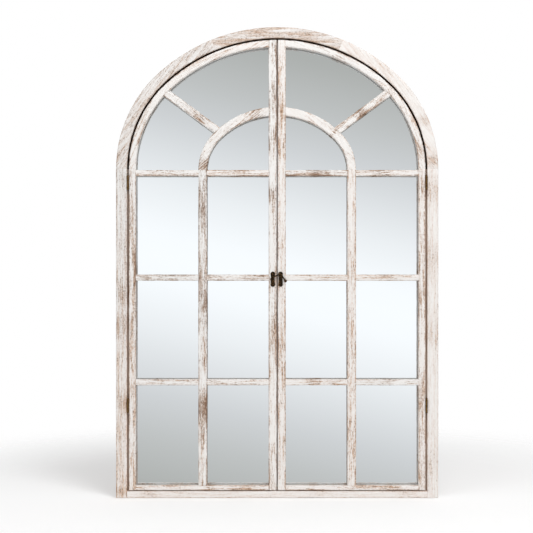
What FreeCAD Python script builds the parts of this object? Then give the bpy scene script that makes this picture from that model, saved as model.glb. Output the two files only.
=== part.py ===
"""Arched window mirror: an arched wooden frame holding one mirror sheet behind two latticed doors.

Millimetres, +Z up, the front faces -Y, +X to the right seen from the front.
Every size below is measured from the underside of the sill (z) and the back of the frame (y).
The finished pieces are then lowered by the height of the hangers, so that the origin
lies midway between the two hanger holes, on the back plane of the frame.
"""
import FreeCAD, Part
import Sketcher
import math
import os
import re

SIZES = [
    # the outline of the frame
    ("frame_width", 850, "outside width"),
    ("spring_height", 868, "height at which the straight posts turn into the arch"),
    ("arch_rise", 374, "height of the arch above its spring"),
    ("haunch_angle", 43, "degrees either side of the top that the flatter crown arc covers"),
    ("crown_joint_angle", 22, "degrees from the top to the joints of the crown segment"),
    ("member_width", 29, "width of the posts and the arch, seen from the front"),
    ("sill_height", 18, "height of the sill, seen from the front"),
    # the layers from back to front
    ("board_thickness", 3, "backing board"),
    ("mirror_thickness", 4, "mirror sheet"),
    ("lip_thickness", 6, "lip between the mirror and the doors"),
    ("lip_width", 12, "how far the lip reaches into the opening"),
    ("door_clearance", 1, "free space between the lip and the closed doors"),
    ("door_thickness", 16, "stiles and rails of the doors"),
    ("lattice_thickness", 14, "bars inside the doors, flush with their front"),
    ("mirror_clearance", 1, "free edge round the mirror and its board"),
    ("mullion_width", 16, "upright of the frame behind the gap between the doors"),
    # the doors
    ("door_gap", 5, "gap between the frame and a door, at the side and round the arch"),
    ("bottom_gap", 2.5, "gap under the doors"),
    ("centre_gap", 3, "gap between the two doors"),
    ("stile_width", 18.5, "hinge stile and arch rail"),
    ("meeting_width", 21, "stile at the middle of the mirror"),
    ("bottom_rail_height", 12.5, "bottom rail"),
    ("muntin_width", 23, "upright bar and the small arch on top of it"),
    ("muntin_offset", 196.5, "middle of the upright bar from the middle of the mirror"),
    ("bar_height", 16, "horizontal bars"),
    ("upper_bar_drop", 11, "middle of the upper bars below the spring"),
    ("bar_pitch", 276, "between the middles of neighbouring horizontal bars"),
    ("inner_rise", 166.5, "height of the small arch above the upper bars"),
    ("inner_haunch_angle", 45, "degrees that the crown arc of the small arch covers"),
    ("radial_angle", 36.5, "slope of the radial bar in degrees"),
    ("radial_focus_drop", 16, "point at which both radial bars would meet, below the spring"),
    ("radial_width", 21, "radial bar"),
    # hinges
    ("hinge_height", 38, "length of a hinge"),
    ("lower_hinge", 244, "middle of the lower hinges"),
    ("upper_hinge_drop", 36, "middle of the upper hinges below the spring"),
    ("hinge_proud", 1.5, "how far the hinge axis stands in front of the frame"),
    ("leaf_thickness", 1.2, "hinge leaf"),
    ("leaf_reach", 14, "hinge leaf from the axis to its far edge"),
    ("knuckle_gap", 0.3, "free space between neighbouring knuckles"),
    ("pin_radius", 1, "hinge pin"),
    ("running_clearance", 0.05, "radial clearance of pins in their bores"),
    ("leaf_screw_radius", 1.25, "shank of a hinge screw"),
    ("leaf_screw_head", 2.3, "head of a hinge screw"),
    ("leaf_screw_length", 12, "hinge screw"),
    ("leaf_screw_spacing", 20, "between the two screws of a leaf"),
    ("screw_clearance", 0.05, "radial clearance round screws and nails"),
    # latch
    ("latch_drop", 4, "middle of the latch plates below the middle of the middle bars"),
    ("plate_length", 40, "latch plate"),
    ("plate_lobe", 6, "radius of the round ends of a latch plate"),
    ("plate_waist", 9, "width of a latch plate between its ends"),
    ("plate_thickness", 1.5, "latch plate"),
    ("catch_offset", 11.5, "middle of the catch plate, left of the middle"),
    ("hook_offset", 8.8, "middle of the hook plate, right of the middle"),
    ("pivot_rise", 13.5, "hook pivot above the middle of its plate"),
    ("stud_radius", 3.4, "shank of the stud that the hook drops over"),
    ("stud_head", 4.8, "head that keeps the hook on the stud"),
    ("stud_head_thickness", 1, "rim of the stud's head"),
    ("stud_crown", 3, "flat top of the stud's head"),
    ("stud_crown_height", 0.9, "sloping part of the stud's head"),
    ("stud_head_clearance", 0.4, "free space between the hook and the stud's head"),
    ("rod_radius", 1.6, "rod of the hook"),
    ("hook_slack", 0.3, "free space between the hook and the stud"),
    ("hook_wrap", 98, "degrees that the hook bends round the stud"),
    ("knob_radius", 3.4, "ball at the end of the hook's tail"),
    ("knob_clearance", 0.5, "free space between the ball and the plates"),
    ("tail_length", 22, "pivot to the middle of the ball"),
    ("tail_angle", 54, "degrees that the tail slopes down"),
    ("eye_radius", 5.5, "eye of the hook round its pivot"),
    ("eye_thickness", 2.6, "eye of the hook"),
    ("eye_clearance", 0.3, "free space behind and in front of the eye"),
    ("pivot_radius", 1.8, "shank of the pivot rivet"),
    ("rivet_head", 4, "head of the pivot rivet"),
    ("rivet_head_thickness", 1.4, "head of the pivot rivet"),
    ("nail_radius", 0.9, "nails of the latch plates"),
    ("nail_length", 11, "nails of the latch plates"),
    ("nail_head", 1.9, "head of a nail"),
    ("nail_head_thickness", 0.9, "head of a nail"),
    ("nail_inset", 3.4, "nail from the end of its plate"),
    ("hook_nail_rise", 2, "upper nail of the hook plate above the plate's middle"),
    # the back
    ("hanger_drop", 108, "hanger holes below the spring"),
    ("hanger_length", 46, "hanger plate"),
    ("hanger_width", 16, "hanger plate"),
    ("hanger_thickness", 1.5, "hanger plate"),
    ("keyhole_radius", 4.5, "round entry of the keyhole"),
    ("keyhole_slot", 4.2, "width of the slot above it"),
    ("keyhole_rise", 9, "top of the slot above the middle of the entry"),
    ("pocket_depth", 12, "pocket for the wall screw's head"),
    ("pocket_width", 12, "pocket behind a hanger plate"),
    ("pocket_length", 26, "pocket behind a hanger plate"),
    ("hanger_screw_spacing", 36, "between the two screws of a hanger plate"),
    ("back_screw_radius", 1.5, "shank of a back screw"),
    ("back_screw_length", 12, "back screw"),
    ("back_screw_head", 2.8, "head of a back screw"),
    ("back_screw_head_thickness", 1.6, "head of a back screw"),
    ("clip_length", 24, "clip that holds the backing board"),
    ("clip_width", 12, "clip that holds the backing board"),
    ("clip_thickness", 1.2, "clip that holds the backing board"),
    ("clip_screw_offset", 6, "screw of a clip from the clip's middle"),
    ("lower_clip", 190, "lower clips on the posts"),
    ("middle_clip_drop", 434, "middle clips on the posts below the spring"),
    ("upper_clip_drop", 208, "upper clips on the posts below the spring"),
    ("sill_clip_offset", 200, "clips on the sill from the middle of the mirror"),
    ("haunch_clip_angle", 23, "degrees above the spring to the clips on the haunches"),
    ("crown_clip_angle", 32, "degrees from the top to the clips beside the crown"),
    ("pad_radius", 8, "bumper pad"),
    ("pad_thickness", 4, "bumper pad"),
    ("lower_pad", 24, "lower pads"),
    ("upper_pad_angle", 35, "degrees above the spring to the upper pads"),
]

doc = FreeCAD.newDocument("ArchedWindowMirror")
sizes = doc.addObject("Spreadsheet::Sheet", "Sizes")
for row, (alias, value, note) in enumerate(SIZES, start=1):
    sizes.set(f"A{row}", note)
    sizes.set(f"B{row}", str(value))
    sizes.setAlias(f"B{row}", alias)
doc.recompute()

ALIASES = re.compile(r"\b(" + "|".join(alias for alias, _, _ in SIZES) + r")\b")
FRONT_PLANE = "XZ_Plane"
nodes = []


# ---------------------------------------------------------------- expressions

def cell(expression):
    """The expression with each size written as a reference to the sheet."""
    return ALIASES.sub(r"Sizes.\1", str(expression))


def number(expression):
    """The present value of an expression."""
    return float(sizes.evalExpression(cell(expression)))


def bind(obj, **expressions):
    """Tie properties of an object to expressions."""
    for name, expression in expressions.items():
        obj.setExpression(name, cell(expression))


def times(side, expression):
    """An x coordinate on the right (side 1) or the left (side -1) of the mirror."""
    return f"({side} * ({expression}))"


# The arch has three centres: two haunch arcs and a flatter crown arc between them.
# For a half span, a rise and the angle where they meet, both radii follow.

def haunch_radius(half_span, rise, angle):
    return f"(({rise} - ({half_span}) * tan({angle} / 2)) / (1 - tan({angle} / 2)))"


def centre_offset(half_span, rise, angle):
    """Distance of a haunch centre from the middle."""
    return f"({half_span} - {haunch_radius(half_span, rise, angle)})"


def crown_drop(half_span, rise, angle):
    """Depth of the crown centre below the spring."""
    return f"({centre_offset(half_span, rise, angle)} / tan({angle}))"


HALF = "(frame_width / 2)"
OUTER = (HALF, "arch_rise", "haunch_angle")
HAUNCH_X = centre_offset(*OUTER)
HAUNCH_R = haunch_radius(*OUTER)
CROWN_DROP = crown_drop(*OUTER)
CROWN_Z = f"(spring_height - {CROWN_DROP})"
CROWN_R = f"(arch_rise + {CROWN_DROP})"

LIP_BACK = "(board_thickness + mirror_thickness)"
DOOR_BACK = f"({LIP_BACK} + lip_thickness + door_clearance)"
DEPTH = f"({DOOR_BACK} + door_thickness)"
LATTICE_BACK = f"({DEPTH} - lattice_thickness)"
FRAME_EDGE = f"({HALF} - member_width)"
POST_MIDDLE = f"({HALF} - member_width / 2)"

DOOR_INSET = "(member_width + door_gap)"
DOOR_EDGE = f"({HALF} - {DOOR_INSET})"
DOOR_BOTTOM = "(sill_height + bottom_gap)"
STILE_EDGE = f"({DOOR_EDGE} - stile_width)"
MEETING_EDGE = "(centre_gap / 2 + meeting_width)"
MUNTIN_OUTER = "(muntin_offset + muntin_width / 2)"
MUNTIN_INNER = "(muntin_offset - muntin_width / 2)"

UPPER_BAR = "(spring_height - upper_bar_drop)"
MIDDLE_BAR = f"({UPPER_BAR} - bar_pitch)"
LOWER_BAR = f"({MIDDLE_BAR} - bar_pitch)"
RADIAL_FOCUS = "(spring_height - radial_focus_drop)"
LATCH_Z = f"({MIDDLE_BAR} - latch_drop)"
HANGER_Z = "(spring_height - hanger_drop)"

INNER = (MUNTIN_OUTER, "inner_rise", "inner_haunch_angle")
INNER_SPRING = f"({UPPER_BAR} + bar_height / 2)"
INNER_X = centre_offset(*INNER)
INNER_R = haunch_radius(*INNER)
INNER_DROP = crown_drop(*INNER)
INNER_CROWN_Z = f"({INNER_SPRING} - {INNER_DROP})"
INNER_CROWN_R = f"(inner_rise + {INNER_DROP})"

HINGE_X = f"({FRAME_EDGE} - door_gap / 2)"
HINGE_Y = f"(-({DEPTH} + hinge_proud))"
PLATE_FRONT = f"(-({DEPTH} + plate_thickness))"


# ---------------------------------------------------------------- sketches

def new_body(label):
    body = doc.addObject("PartDesign::Body", label)
    body.Label = label
    return body


def front_sketch(body, back):
    """A sketch in the front view, a distance in front of the back plane."""
    plane = next(f for f in body.Origin.OriginFeatures if f.Role == FRONT_PLANE)
    sketch = body.newObject("Sketcher::SketchObject", body.Name + "_outline")
    sketch.AttachmentSupport = [(plane, "")]
    sketch.MapMode = "FlatFace"
    sketch.setExpression("AttachmentOffset.Base.z", cell(back))
    return sketch


def constrain(sketch, kind, where, expression):
    """A dimension of the sketch, tied to an expression."""
    degrees = kind == "Angle"
    value = math.radians(number(expression)) if degrees else number(expression)
    index = sketch.addConstraint(Sketcher.Constraint(kind, *where, value))
    text = f"({expression}) * 1 deg" if degrees else expression
    sketch.setExpression(f"Constraints[{index}]", cell(text))


def fix_point(sketch, geometry, position, x, z):
    constrain(sketch, "DistanceX", (-1, 1, geometry, position), x)
    constrain(sketch, "DistanceY", (-1, 1, geometry, position), z)


def join(sketch, first, first_end, second, second_end, kind="Coincident"):
    sketch.addConstraint(Sketcher.Constraint(kind, first, first_end, second, second_end))


def polygon(sketch, corners):
    """A closed outline of straight lines."""
    points = [FreeCAD.Vector(number(x), number(z), 0) for x, z in corners]
    lines = []
    for start, end in zip(points, points[1:] + points[:1]):
        lines.append(sketch.addGeometry(Part.LineSegment(start, end)))
    for line, following in zip(lines, lines[1:] + lines[:1]):
        join(sketch, line, 2, following, 1)
    for line, (x, z) in zip(lines, corners):
        fix_point(sketch, line, 1, x, z)


def rectangle(sketch, x0, z0, x1, z1):
    polygon(sketch, [(x0, z0), (x1, z0), (x1, z1), (x0, z1)])


def arc(sketch, centre, radius, start, end):
    """An arc about (x, z) between two angles in degrees; all values are numbers."""
    circle = Part.Circle(FreeCAD.Vector(*centre, 0), FreeCAD.Vector(0, 0, 1), radius)
    return sketch.addGeometry(Part.ArcOfCircle(circle, math.radians(start), math.radians(end)))


def arc_band(sketch, x, z, inner, outer, start, end):
    """A band between two arcs about one centre.

    Each end is ("angle", degrees), a cut along the radius, or ("upright", x), a vertical cut.
    The start is the end nearer to angle 0.
    """
    centre = (number(x), number(z))
    radii = (number(inner), number(outer))

    def end_angle(cut, radius):
        kind, where = cut
        if kind == "angle":
            return number(where)
        return math.degrees(math.acos((number(where) - centre[0]) / radius))

    arcs = []
    for radius in radii:
        arcs.append(arc(sketch, centre, radius, end_angle(start, radius), end_angle(end, radius)))
    for cut, vertex in ((start, 1), (end, 2)):
        ends = []
        for radius in radii:
            turn = math.radians(end_angle(cut, radius))
            ends.append(FreeCAD.Vector(centre[0] + radius * math.cos(turn),
                                       centre[1] + radius * math.sin(turn), 0))
        line = sketch.addGeometry(Part.LineSegment(*ends))
        join(sketch, line, 1, arcs[0], vertex)
        join(sketch, line, 2, arcs[1], vertex)
        if cut[0] == "angle":
            sketch.addConstraint(Sketcher.Constraint("PointOnObject", arcs[0], 3, line))
            constrain(sketch, "Angle", (line,), cut[1])
        else:
            sketch.addConstraint(Sketcher.Constraint("Vertical", line))
            constrain(sketch, "DistanceX", (-1, 1, line, 1), cut[1])
    join(sketch, arcs[0], 3, arcs[1], 3)
    fix_point(sketch, arcs[0], 3, x, z)
    constrain(sketch, "Radius", (arcs[0],), inner)
    constrain(sketch, "Radius", (arcs[1],), outer)


def arched_outline(sketch, half_span, bottom, spring, rise, angle, inset):
    """A closed outline with a flat foot, straight sides and a three-centred arch.

    Half span, rise and angle describe the arch before it is drawn in by the inset.
    """
    side = f"({half_span} - {inset})"
    haunch = f"({haunch_radius(half_span, rise, angle)} - {inset})"
    offset = centre_offset(half_span, rise, angle)
    drop = crown_drop(half_span, rise, angle)
    crown = f"({rise} + {drop} - {inset})"
    turn = number(angle)
    haunch_at, crown_at = (number(offset), number(spring)), (0, number(f"{spring} - {drop}"))
    right = arc(sketch, haunch_at, number(haunch), 0, 90 - turn)
    top = arc(sketch, crown_at, number(crown), 90 - turn, 90 + turn)
    left = arc(sketch, (-haunch_at[0], haunch_at[1]), number(haunch), 90 + turn, 180)
    low, high, wide = number(bottom), number(spring), number(side)
    corners = [(-wide, high), (-wide, low), (wide, low), (wide, high)]
    points = [FreeCAD.Vector(x, z, 0) for x, z in corners]
    left_side, foot, right_side = [sketch.addGeometry(Part.LineSegment(start, end))
                                   for start, end in zip(points, points[1:])]
    join(sketch, left_side, 2, foot, 1)
    join(sketch, foot, 2, right_side, 1)
    join(sketch, right_side, 2, right, 1, "Tangent")
    join(sketch, right, 2, top, 1, "Tangent")
    join(sketch, top, 2, left, 1, "Tangent")
    join(sketch, left, 2, left_side, 1, "Tangent")
    sketch.addConstraint(Sketcher.Constraint("Vertical", left_side))
    sketch.addConstraint(Sketcher.Constraint("Vertical", right_side))
    fix_point(sketch, foot, 1, f"-({side})", bottom)
    fix_point(sketch, foot, 2, side, bottom)
    constrain(sketch, "DistanceY", (-1, 1, right, 3), spring)
    constrain(sketch, "DistanceY", (-1, 1, left, 3), spring)
    constrain(sketch, "Radius", (right,), haunch)
    constrain(sketch, "Radius", (left,), haunch)
    constrain(sketch, "Radius", (top,), crown)


def upright_outline(sketch, left, right, bottom, radius):
    """A tall strip between two x coordinates; its top is an arc about the centre of the crown."""
    centre = (0, number(CROWN_Z))
    low, reach = number(bottom), number(radius)
    x0, x1 = number(left), number(right)
    top0, top1 = [centre[1] + math.sqrt(reach ** 2 - x ** 2) for x in (x0, x1)]
    points = [FreeCAD.Vector(x, z, 0) for x, z in ((x0, top0), (x0, low), (x1, low), (x1, top1))]
    left_side, foot, right_side = [sketch.addGeometry(Part.LineSegment(start, end))
                                   for start, end in zip(points, points[1:])]
    turns = [math.degrees(math.atan2(z - centre[1], x)) for x, z in ((x1, top1), (x0, top0))]
    top = arc(sketch, centre, reach, *turns)
    join(sketch, left_side, 2, foot, 1)
    join(sketch, foot, 2, right_side, 1)
    join(sketch, right_side, 2, top, 1)
    join(sketch, left_side, 1, top, 2)
    sketch.addConstraint(Sketcher.Constraint("Vertical", left_side))
    sketch.addConstraint(Sketcher.Constraint("Vertical", right_side))
    fix_point(sketch, foot, 1, left, bottom)
    fix_point(sketch, foot, 2, right, bottom)
    fix_point(sketch, top, 3, "0", CROWN_Z)
    constrain(sketch, "Radius", (top,), radius)


def layer(body, back, thickness, outline, *arguments):
    """A slab with the outline, from the distance back towards the front."""
    sketch = front_sketch(body, back)
    outline(sketch, *arguments)
    pad = body.newObject("PartDesign::Pad", body.Name + "_pad")
    pad.Profile = sketch
    pad.setExpression("Length", cell(thickness))
    sketch.Visibility = False
    doc.recompute()
    return body


# ---------------------------------------------------------------- primitives

def turned(obj, axis, angle):
    """Turn an object about an axis through its own origin."""
    obj.Placement = FreeCAD.Placement(obj.Placement.Base, FreeCAD.Rotation(FreeCAD.Vector(*axis), 1))
    obj.setExpression("Placement.Rotation.Angle", cell(f"({angle}) * 1 deg"))


def moved(obj, x, y, z):
    for name, expression in zip("xyz", (x, y, z)):
        obj.setExpression(f"Placement.Base.{name}", cell(expression))
    return obj


def block(x0, x1, y0, y1, z0, z1):
    box = doc.addObject("Part::Box", "block")
    bind(box, Length=f"({x1}) - ({x0})", Width=f"({y1}) - ({y0})", Height=f"({z1}) - ({z0})")
    return moved(box, x0, y0, z0)


def rod(radius, length, x, y, z, axis="z"):
    """A cylinder from a point along +z, +y, +x or -x."""
    cylinder = doc.addObject("Part::Cylinder", "rod")
    bind(cylinder, Radius=radius, Height=length)
    return along(cylinder, x, y, z, axis)


def taper(radius, end_radius, length, x, y, z, axis="z"):
    cone = doc.addObject("Part::Cone", "taper")
    bind(cone, Radius1=radius, Radius2=end_radius, Height=length)
    return along(cone, x, y, z, axis)


def along(obj, x, y, z, axis):
    if axis == "y":
        turned(obj, (1, 0, 0), -90)
    elif axis == "-y":
        turned(obj, (1, 0, 0), 90)
    elif axis == "x":
        turned(obj, (0, 1, 0), 90)
    elif axis == "-x":
        turned(obj, (0, 1, 0), -90)
    return moved(obj, x, y, z)


def fused(*shapes):
    fusion = doc.addObject("Part::MultiFuse", "fused")
    fusion.Shapes = list(shapes)
    fusion.Refine = True
    return fusion


def grouped(shapes):
    compound = doc.addObject("Part::Compound", "grouped")
    compound.Links = list(shapes)
    return compound


def cut(base, *tools):
    result = doc.addObject("Part::Cut", "cut")
    result.Base = base
    result.Tool = tools[0] if len(tools) == 1 else grouped(tools)
    return result


def node(label, obj):
    """Name a finished piece and lower it, so that the origin lies between the hangers."""
    if obj.Label != label:
        obj.Label = label
    obj.setExpression("Placement.Base.z", cell(f"-{HANGER_Z}"))
    nodes.append(obj)
    return obj


# ---------------------------------------------------------------- hardware sets

def hinge_levels():
    return (("upper", "(spring_height - upper_hinge_drop)"), ("lower", "lower_hinge"))


def side_name(side):
    return "right" if side > 0 else "left"


def leaf_screws(side, towards, grow="0"):
    """Countersunk screws through the hinge leaves of one side.

    Towards is 1 for the leaf on the post and -1 for the leaf on the door.
    """
    out = side * towards
    axis = "x" if out > 0 else "-x"
    face = f"({times(side, HINGE_X)} + {out} * (door_gap / 2 - leaf_thickness))"
    depth = f"({HINGE_Y} + (leaf_reach + door_gap / 2) / 2)"
    screws = []
    for _, level in hinge_levels():
        for step in (-1, 1):
            height = f"({level} + {step} * leaf_screw_spacing / 2)"
            head = taper(f"leaf_screw_head + {grow}", f"leaf_screw_radius + {grow}", "leaf_thickness",
                         face, depth, height, axis)
            shank = rod(f"leaf_screw_radius + {grow}", "leaf_screw_length", face, depth, height, axis)
            screws.append(fused(head, shank))
    return screws


def hinge_leaf(side, towards, level):
    """One leaf of a butt hinge: a plate, its knuckles round the pin, and two screw holes."""
    out = side * towards
    axis_x = times(side, HINGE_X)
    low = f"({level} - hinge_height / 2)"
    knuckle = "((hinge_height - 2 * knuckle_gap) / 3)"
    steps = (0, 2) if towards > 0 else (1,)
    faces = [f"({axis_x} + {out} * (door_gap / 2 - leaf_thickness))", f"({axis_x} + {out} * door_gap / 2)"]
    x0, x1 = faces if out > 0 else faces[::-1]
    plate_front = f"({HINGE_Y} + door_gap / 2 + knuckle_gap)"
    pieces = [block(x0, x1, plate_front, f"{HINGE_Y} + leaf_reach", low, f"{low} + hinge_height")]
    for step in steps:
        start = f"({low} + {step} * ({knuckle} + knuckle_gap))"
        pieces.append(rod("door_gap / 2", knuckle, axis_x, HINGE_Y, start))
        pieces.append(block(x0, x1, HINGE_Y, plate_front, start, f"{start} + {knuckle}"))
    bore = rod("pin_radius + running_clearance", "hinge_height", axis_x, HINGE_Y, low)
    return cut(fused(*pieces), bore, *leaf_screws(side, towards, "screw_clearance"))


def leaf_screw_holes(side, towards):
    """Pilot holes in the wood behind the leaves of one side."""
    return leaf_screws(side, towards, "screw_clearance")


# ---------------------------------------------------------------- frame

def clip_places():
    """Centre, radius and direction of each clip: it straddles the inner edge of the frame."""
    places = []
    for side, direction in ((1, "0"), (-1, "180")):
        for height in ("lower_clip", "spring_height - middle_clip_drop",
                       "spring_height - upper_clip_drop"):
            places.append(("0", height, FRAME_EDGE, direction))
        places.append((times(side, "sill_clip_offset"), "sill_height", "0", "270"))
        places.append((times(side, HAUNCH_X), "spring_height", f"({HAUNCH_R} - member_width)",
                       f"{direction} + {side} * haunch_clip_angle"))
        places.append(("0", CROWN_Z, f"({CROWN_R} - member_width)", f"90 - {side} * crown_clip_angle"))
    return places


def place_on_edge(obj, place):
    """Move a piece made at the origin, with its length along +X, to its place on the frame's edge."""
    x, z, radius, direction = place
    turned(obj, (0, 1, 0), f"-({direction})")
    return moved(obj, f"{x} + {radius} * cos({direction})", "0", f"{z} + {radius} * sin({direction})")


def back_screw(grow, x, z, seat):
    """A pan-head screw driven from the back; its head sits on the seat."""
    shank = rod(f"back_screw_radius + {grow}", f"back_screw_length + {seat}", x, seat, z, "-y")
    head = rod(f"back_screw_head + {grow}", "back_screw_head_thickness", x, seat, z, "y")
    return fused(shank, head)


def hanger_screws(grow="0"):
    screws = []
    for side in (1, -1):
        for step in (-1, 1):
            height = f"{HANGER_Z} + {step} * hanger_screw_spacing / 2"
            screws.append(back_screw(grow, times(side, POST_MIDDLE), height, "0"))
    return screws


def clip_screws(grow="0"):
    return [place_on_edge(back_screw(grow, "clip_screw_offset", "0", "clip_thickness"), place)
            for place in clip_places()]


def keyhole_plate(side):
    """A hanger plate flush with the back of the post, with its keyhole and two screw holes."""
    x = times(side, POST_MIDDLE)
    low = f"({HANGER_Z} - hanger_length / 2)"
    slot_top = f"({HANGER_Z} + keyhole_rise - keyhole_slot / 2)"
    plate = block(f"{x} - hanger_width / 2", f"{x} + hanger_width / 2", "-hanger_thickness", "0",
                  low, f"{low} + hanger_length")
    entry = rod("keyhole_radius", "hanger_thickness", x, "0", HANGER_Z, "-y")
    slot = block(f"{x} - keyhole_slot / 2", f"{x} + keyhole_slot / 2", "-hanger_thickness", "0",
                 HANGER_Z, slot_top)
    slot_end = rod("keyhole_slot / 2", "hanger_thickness", x, "0", slot_top, "-y")
    return cut(plate, entry, slot, slot_end, *hanger_screws("screw_clearance"))


def hanger_recess(side):
    """Seat of a hanger plate in the back of a post, with the pocket for the wall screw's head."""
    x = times(side, POST_MIDDLE)
    seat = block(f"{x} - hanger_width / 2", f"{x} + hanger_width / 2", "-hanger_thickness", "0",
                 f"{HANGER_Z} - hanger_length / 2", f"{HANGER_Z} + hanger_length / 2")
    pocket = block(f"{x} - pocket_width / 2", f"{x} + pocket_width / 2", "-pocket_depth", "0",
                   f"{HANGER_Z} - pocket_length / 2", f"{HANGER_Z} + pocket_length / 2")
    return [seat, pocket]


def frame_post(side):
    label = f"frame_post_{side_name(side)}"
    post = new_body(label + "_blank")
    layer(post, "0", DEPTH, rectangle, times(side, FRAME_EDGE), "0", times(side, HALF), "spring_height")
    layer(post, LIP_BACK, "lip_thickness", rectangle, times(side, f"{FRAME_EDGE} - lip_width"),
          "sill_height", times(side, FRAME_EDGE), "spring_height")
    holes = hanger_recess(side) + hanger_screws("screw_clearance") + clip_screws("screw_clearance")
    return node(label, cut(post, *holes, *leaf_screw_holes(side, 1)))


def frame_sill():
    sill = new_body("frame_sill_blank")
    layer(sill, "0", DEPTH, rectangle, times(-1, FRAME_EDGE), "0", FRAME_EDGE, "sill_height")
    lip_end = f"({FRAME_EDGE} - lip_width)"
    layer(sill, LIP_BACK, "lip_thickness", rectangle, times(-1, lip_end), "sill_height",
          lip_end, "sill_height + lip_width")
    return node("frame_sill", cut(sill, *clip_screws("screw_clearance")))


def mirrored_band(side, x, z, inner, outer, start, end):
    """The arguments of an arc band given for the right-hand side, on either side."""
    if side > 0:
        return (x, z, inner, outer, start, end)
    flipped = []
    for kind, where in (end, start):
        flipped.append((kind, f"180 - ({where})" if kind == "angle" else times(-1, where)))
    return (times(-1, x), z, inner, outer, *flipped)


def frame_arch_side(side):
    label = f"frame_arch_{side_name(side)}"
    arch = new_body(label + "_blank")
    haunch = ("angle", "0"), ("angle", "90 - haunch_angle")
    crown = ("angle", "90 - haunch_angle"), ("angle", "90 - crown_joint_angle")
    for back, thickness, outer, inner in (("0", DEPTH, "0", "member_width"),
                                          (LIP_BACK, "lip_thickness", "member_width",
                                           "member_width + lip_width")):
        for x, z, radius, ends in ((HAUNCH_X, "spring_height", HAUNCH_R, haunch),
                                   ("0", CROWN_Z, CROWN_R, crown)):
            layer(arch, back, thickness, arc_band,
                  *mirrored_band(side, x, z, f"{radius} - ({inner})", f"{radius} - ({outer})", *ends))
    return node(label, cut(arch, *clip_screws("screw_clearance")))


def frame_arch_crown():
    crown = new_body("frame_arch_crown")
    ends = ("angle", "90 - crown_joint_angle"), ("angle", "90 + crown_joint_angle")
    layer(crown, "0", DEPTH, arc_band, "0", CROWN_Z, f"{CROWN_R} - member_width", CROWN_R, *ends)
    layer(crown, LIP_BACK, "lip_thickness", arc_band, "0", CROWN_Z,
          f"{CROWN_R} - member_width - lip_width", f"{CROWN_R} - member_width", *ends)
    return node("frame_arch_crown", crown)


def frame_mullion():
    """A strip in line with the lip, from sill to crown, that closes the gap between the doors."""
    mullion = new_body("frame_mullion")
    layer(mullion, LIP_BACK, "lip_thickness", upright_outline, "-mullion_width / 2", "mullion_width / 2",
          "sill_height + lip_width", f"{CROWN_R} - member_width - lip_width")
    return node("frame_mullion", mullion)


def sheet(label, back, thickness):
    """An arched sheet that stands on the sill in the rear rebate."""
    body = new_body(label)
    layer(body, back, thickness, arched_outline, HALF, "sill_height", "spring_height", "arch_rise",
          "haunch_angle", "(member_width + mirror_clearance)")
    return node(label, body)


def back_hardware():
    node("hanger_plates", grouped([keyhole_plate(side) for side in (1, -1)]))
    clips = []
    for place in clip_places():
        strip = block("-clip_length / 2", "clip_length / 2", "0", "clip_thickness",
                      "-clip_width / 2", "clip_width / 2")
        hole = rod("back_screw_radius + screw_clearance", "clip_thickness", "clip_screw_offset", "0", "0", "y")
        clips.append(place_on_edge(cut(strip, hole), place))
    node("retaining_clips", grouped(clips))
    node("back_screws", grouped(hanger_screws() + clip_screws()))
    pads = []
    haunch_middle = f"({HAUNCH_R} - member_width / 2)"
    for side in (1, -1):
        pads.append(rod("pad_radius", "pad_thickness", times(side, POST_MIDDLE), "0", "lower_pad", "y"))
        pads.append(rod("pad_radius", "pad_thickness",
                        times(side, f"{HAUNCH_X} + {haunch_middle} * cos(upper_pad_angle)"), "0",
                        f"spring_height + {haunch_middle} * sin(upper_pad_angle)", "y"))
    node("wall_pads", grouped(pads))


def frame_hinge_parts():
    pins = []
    for side in (-1, 1):
        for name, level in hinge_levels():
            node(f"{side_name(side)}_{name}_hinge_frame_leaf", hinge_leaf(side, 1, level))
            pins.append(rod("pin_radius", "hinge_height", times(side, HINGE_X), HINGE_Y,
                            f"{level} - hinge_height / 2"))
    node("hinge_pins", grouped(pins))
    node("frame_leaf_screws", grouped(leaf_screws(-1, 1) + leaf_screws(1, 1)))


# ---------------------------------------------------------------- doors

def plate_x(side):
    return "hook_offset" if side > 0 else "-catch_offset"


def plate_nails(side, grow="0"):
    """Nails through a latch plate: one near its lower end, one near its upper end or under the pivot."""
    inset = "(plate_length / 2 - nail_inset)"
    upper = "hook_nail_rise" if side > 0 else inset
    nails = []
    for height in (f"{LATCH_Z} - {inset}", f"{LATCH_Z} + {upper}"):
        shank = rod(f"nail_radius + {grow}", "nail_length", plate_x(side), PLATE_FRONT, height, "y")
        head = taper(f"nail_head + {grow}", f"nail_radius + {grow}", "nail_head_thickness",
                     plate_x(side), PLATE_FRONT, height, "-y")
        nails.append(fused(shank, head))
    return nails


def latch_plate(side):
    """A plate with two round ends and a narrower waist on the front of a meeting stile."""
    x = plate_x(side)
    back = f"(-{DEPTH})"
    lobes = (f"{LATCH_Z} - plate_length / 2 + plate_lobe", f"{LATCH_Z} + plate_length / 2 - plate_lobe")
    ends = [rod("plate_lobe", "plate_thickness", x, back, height, "-y") for height in lobes]
    waist = block(f"{x} - plate_waist / 2", f"{x} + plate_waist / 2", PLATE_FRONT, back, *lobes)
    return cut(fused(*ends, waist), *plate_nails(side, "screw_clearance"))


def door_member(label, back, thickness, outline, *arguments):
    return node(label, layer(new_body(label), back, thickness, outline, *arguments))


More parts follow.
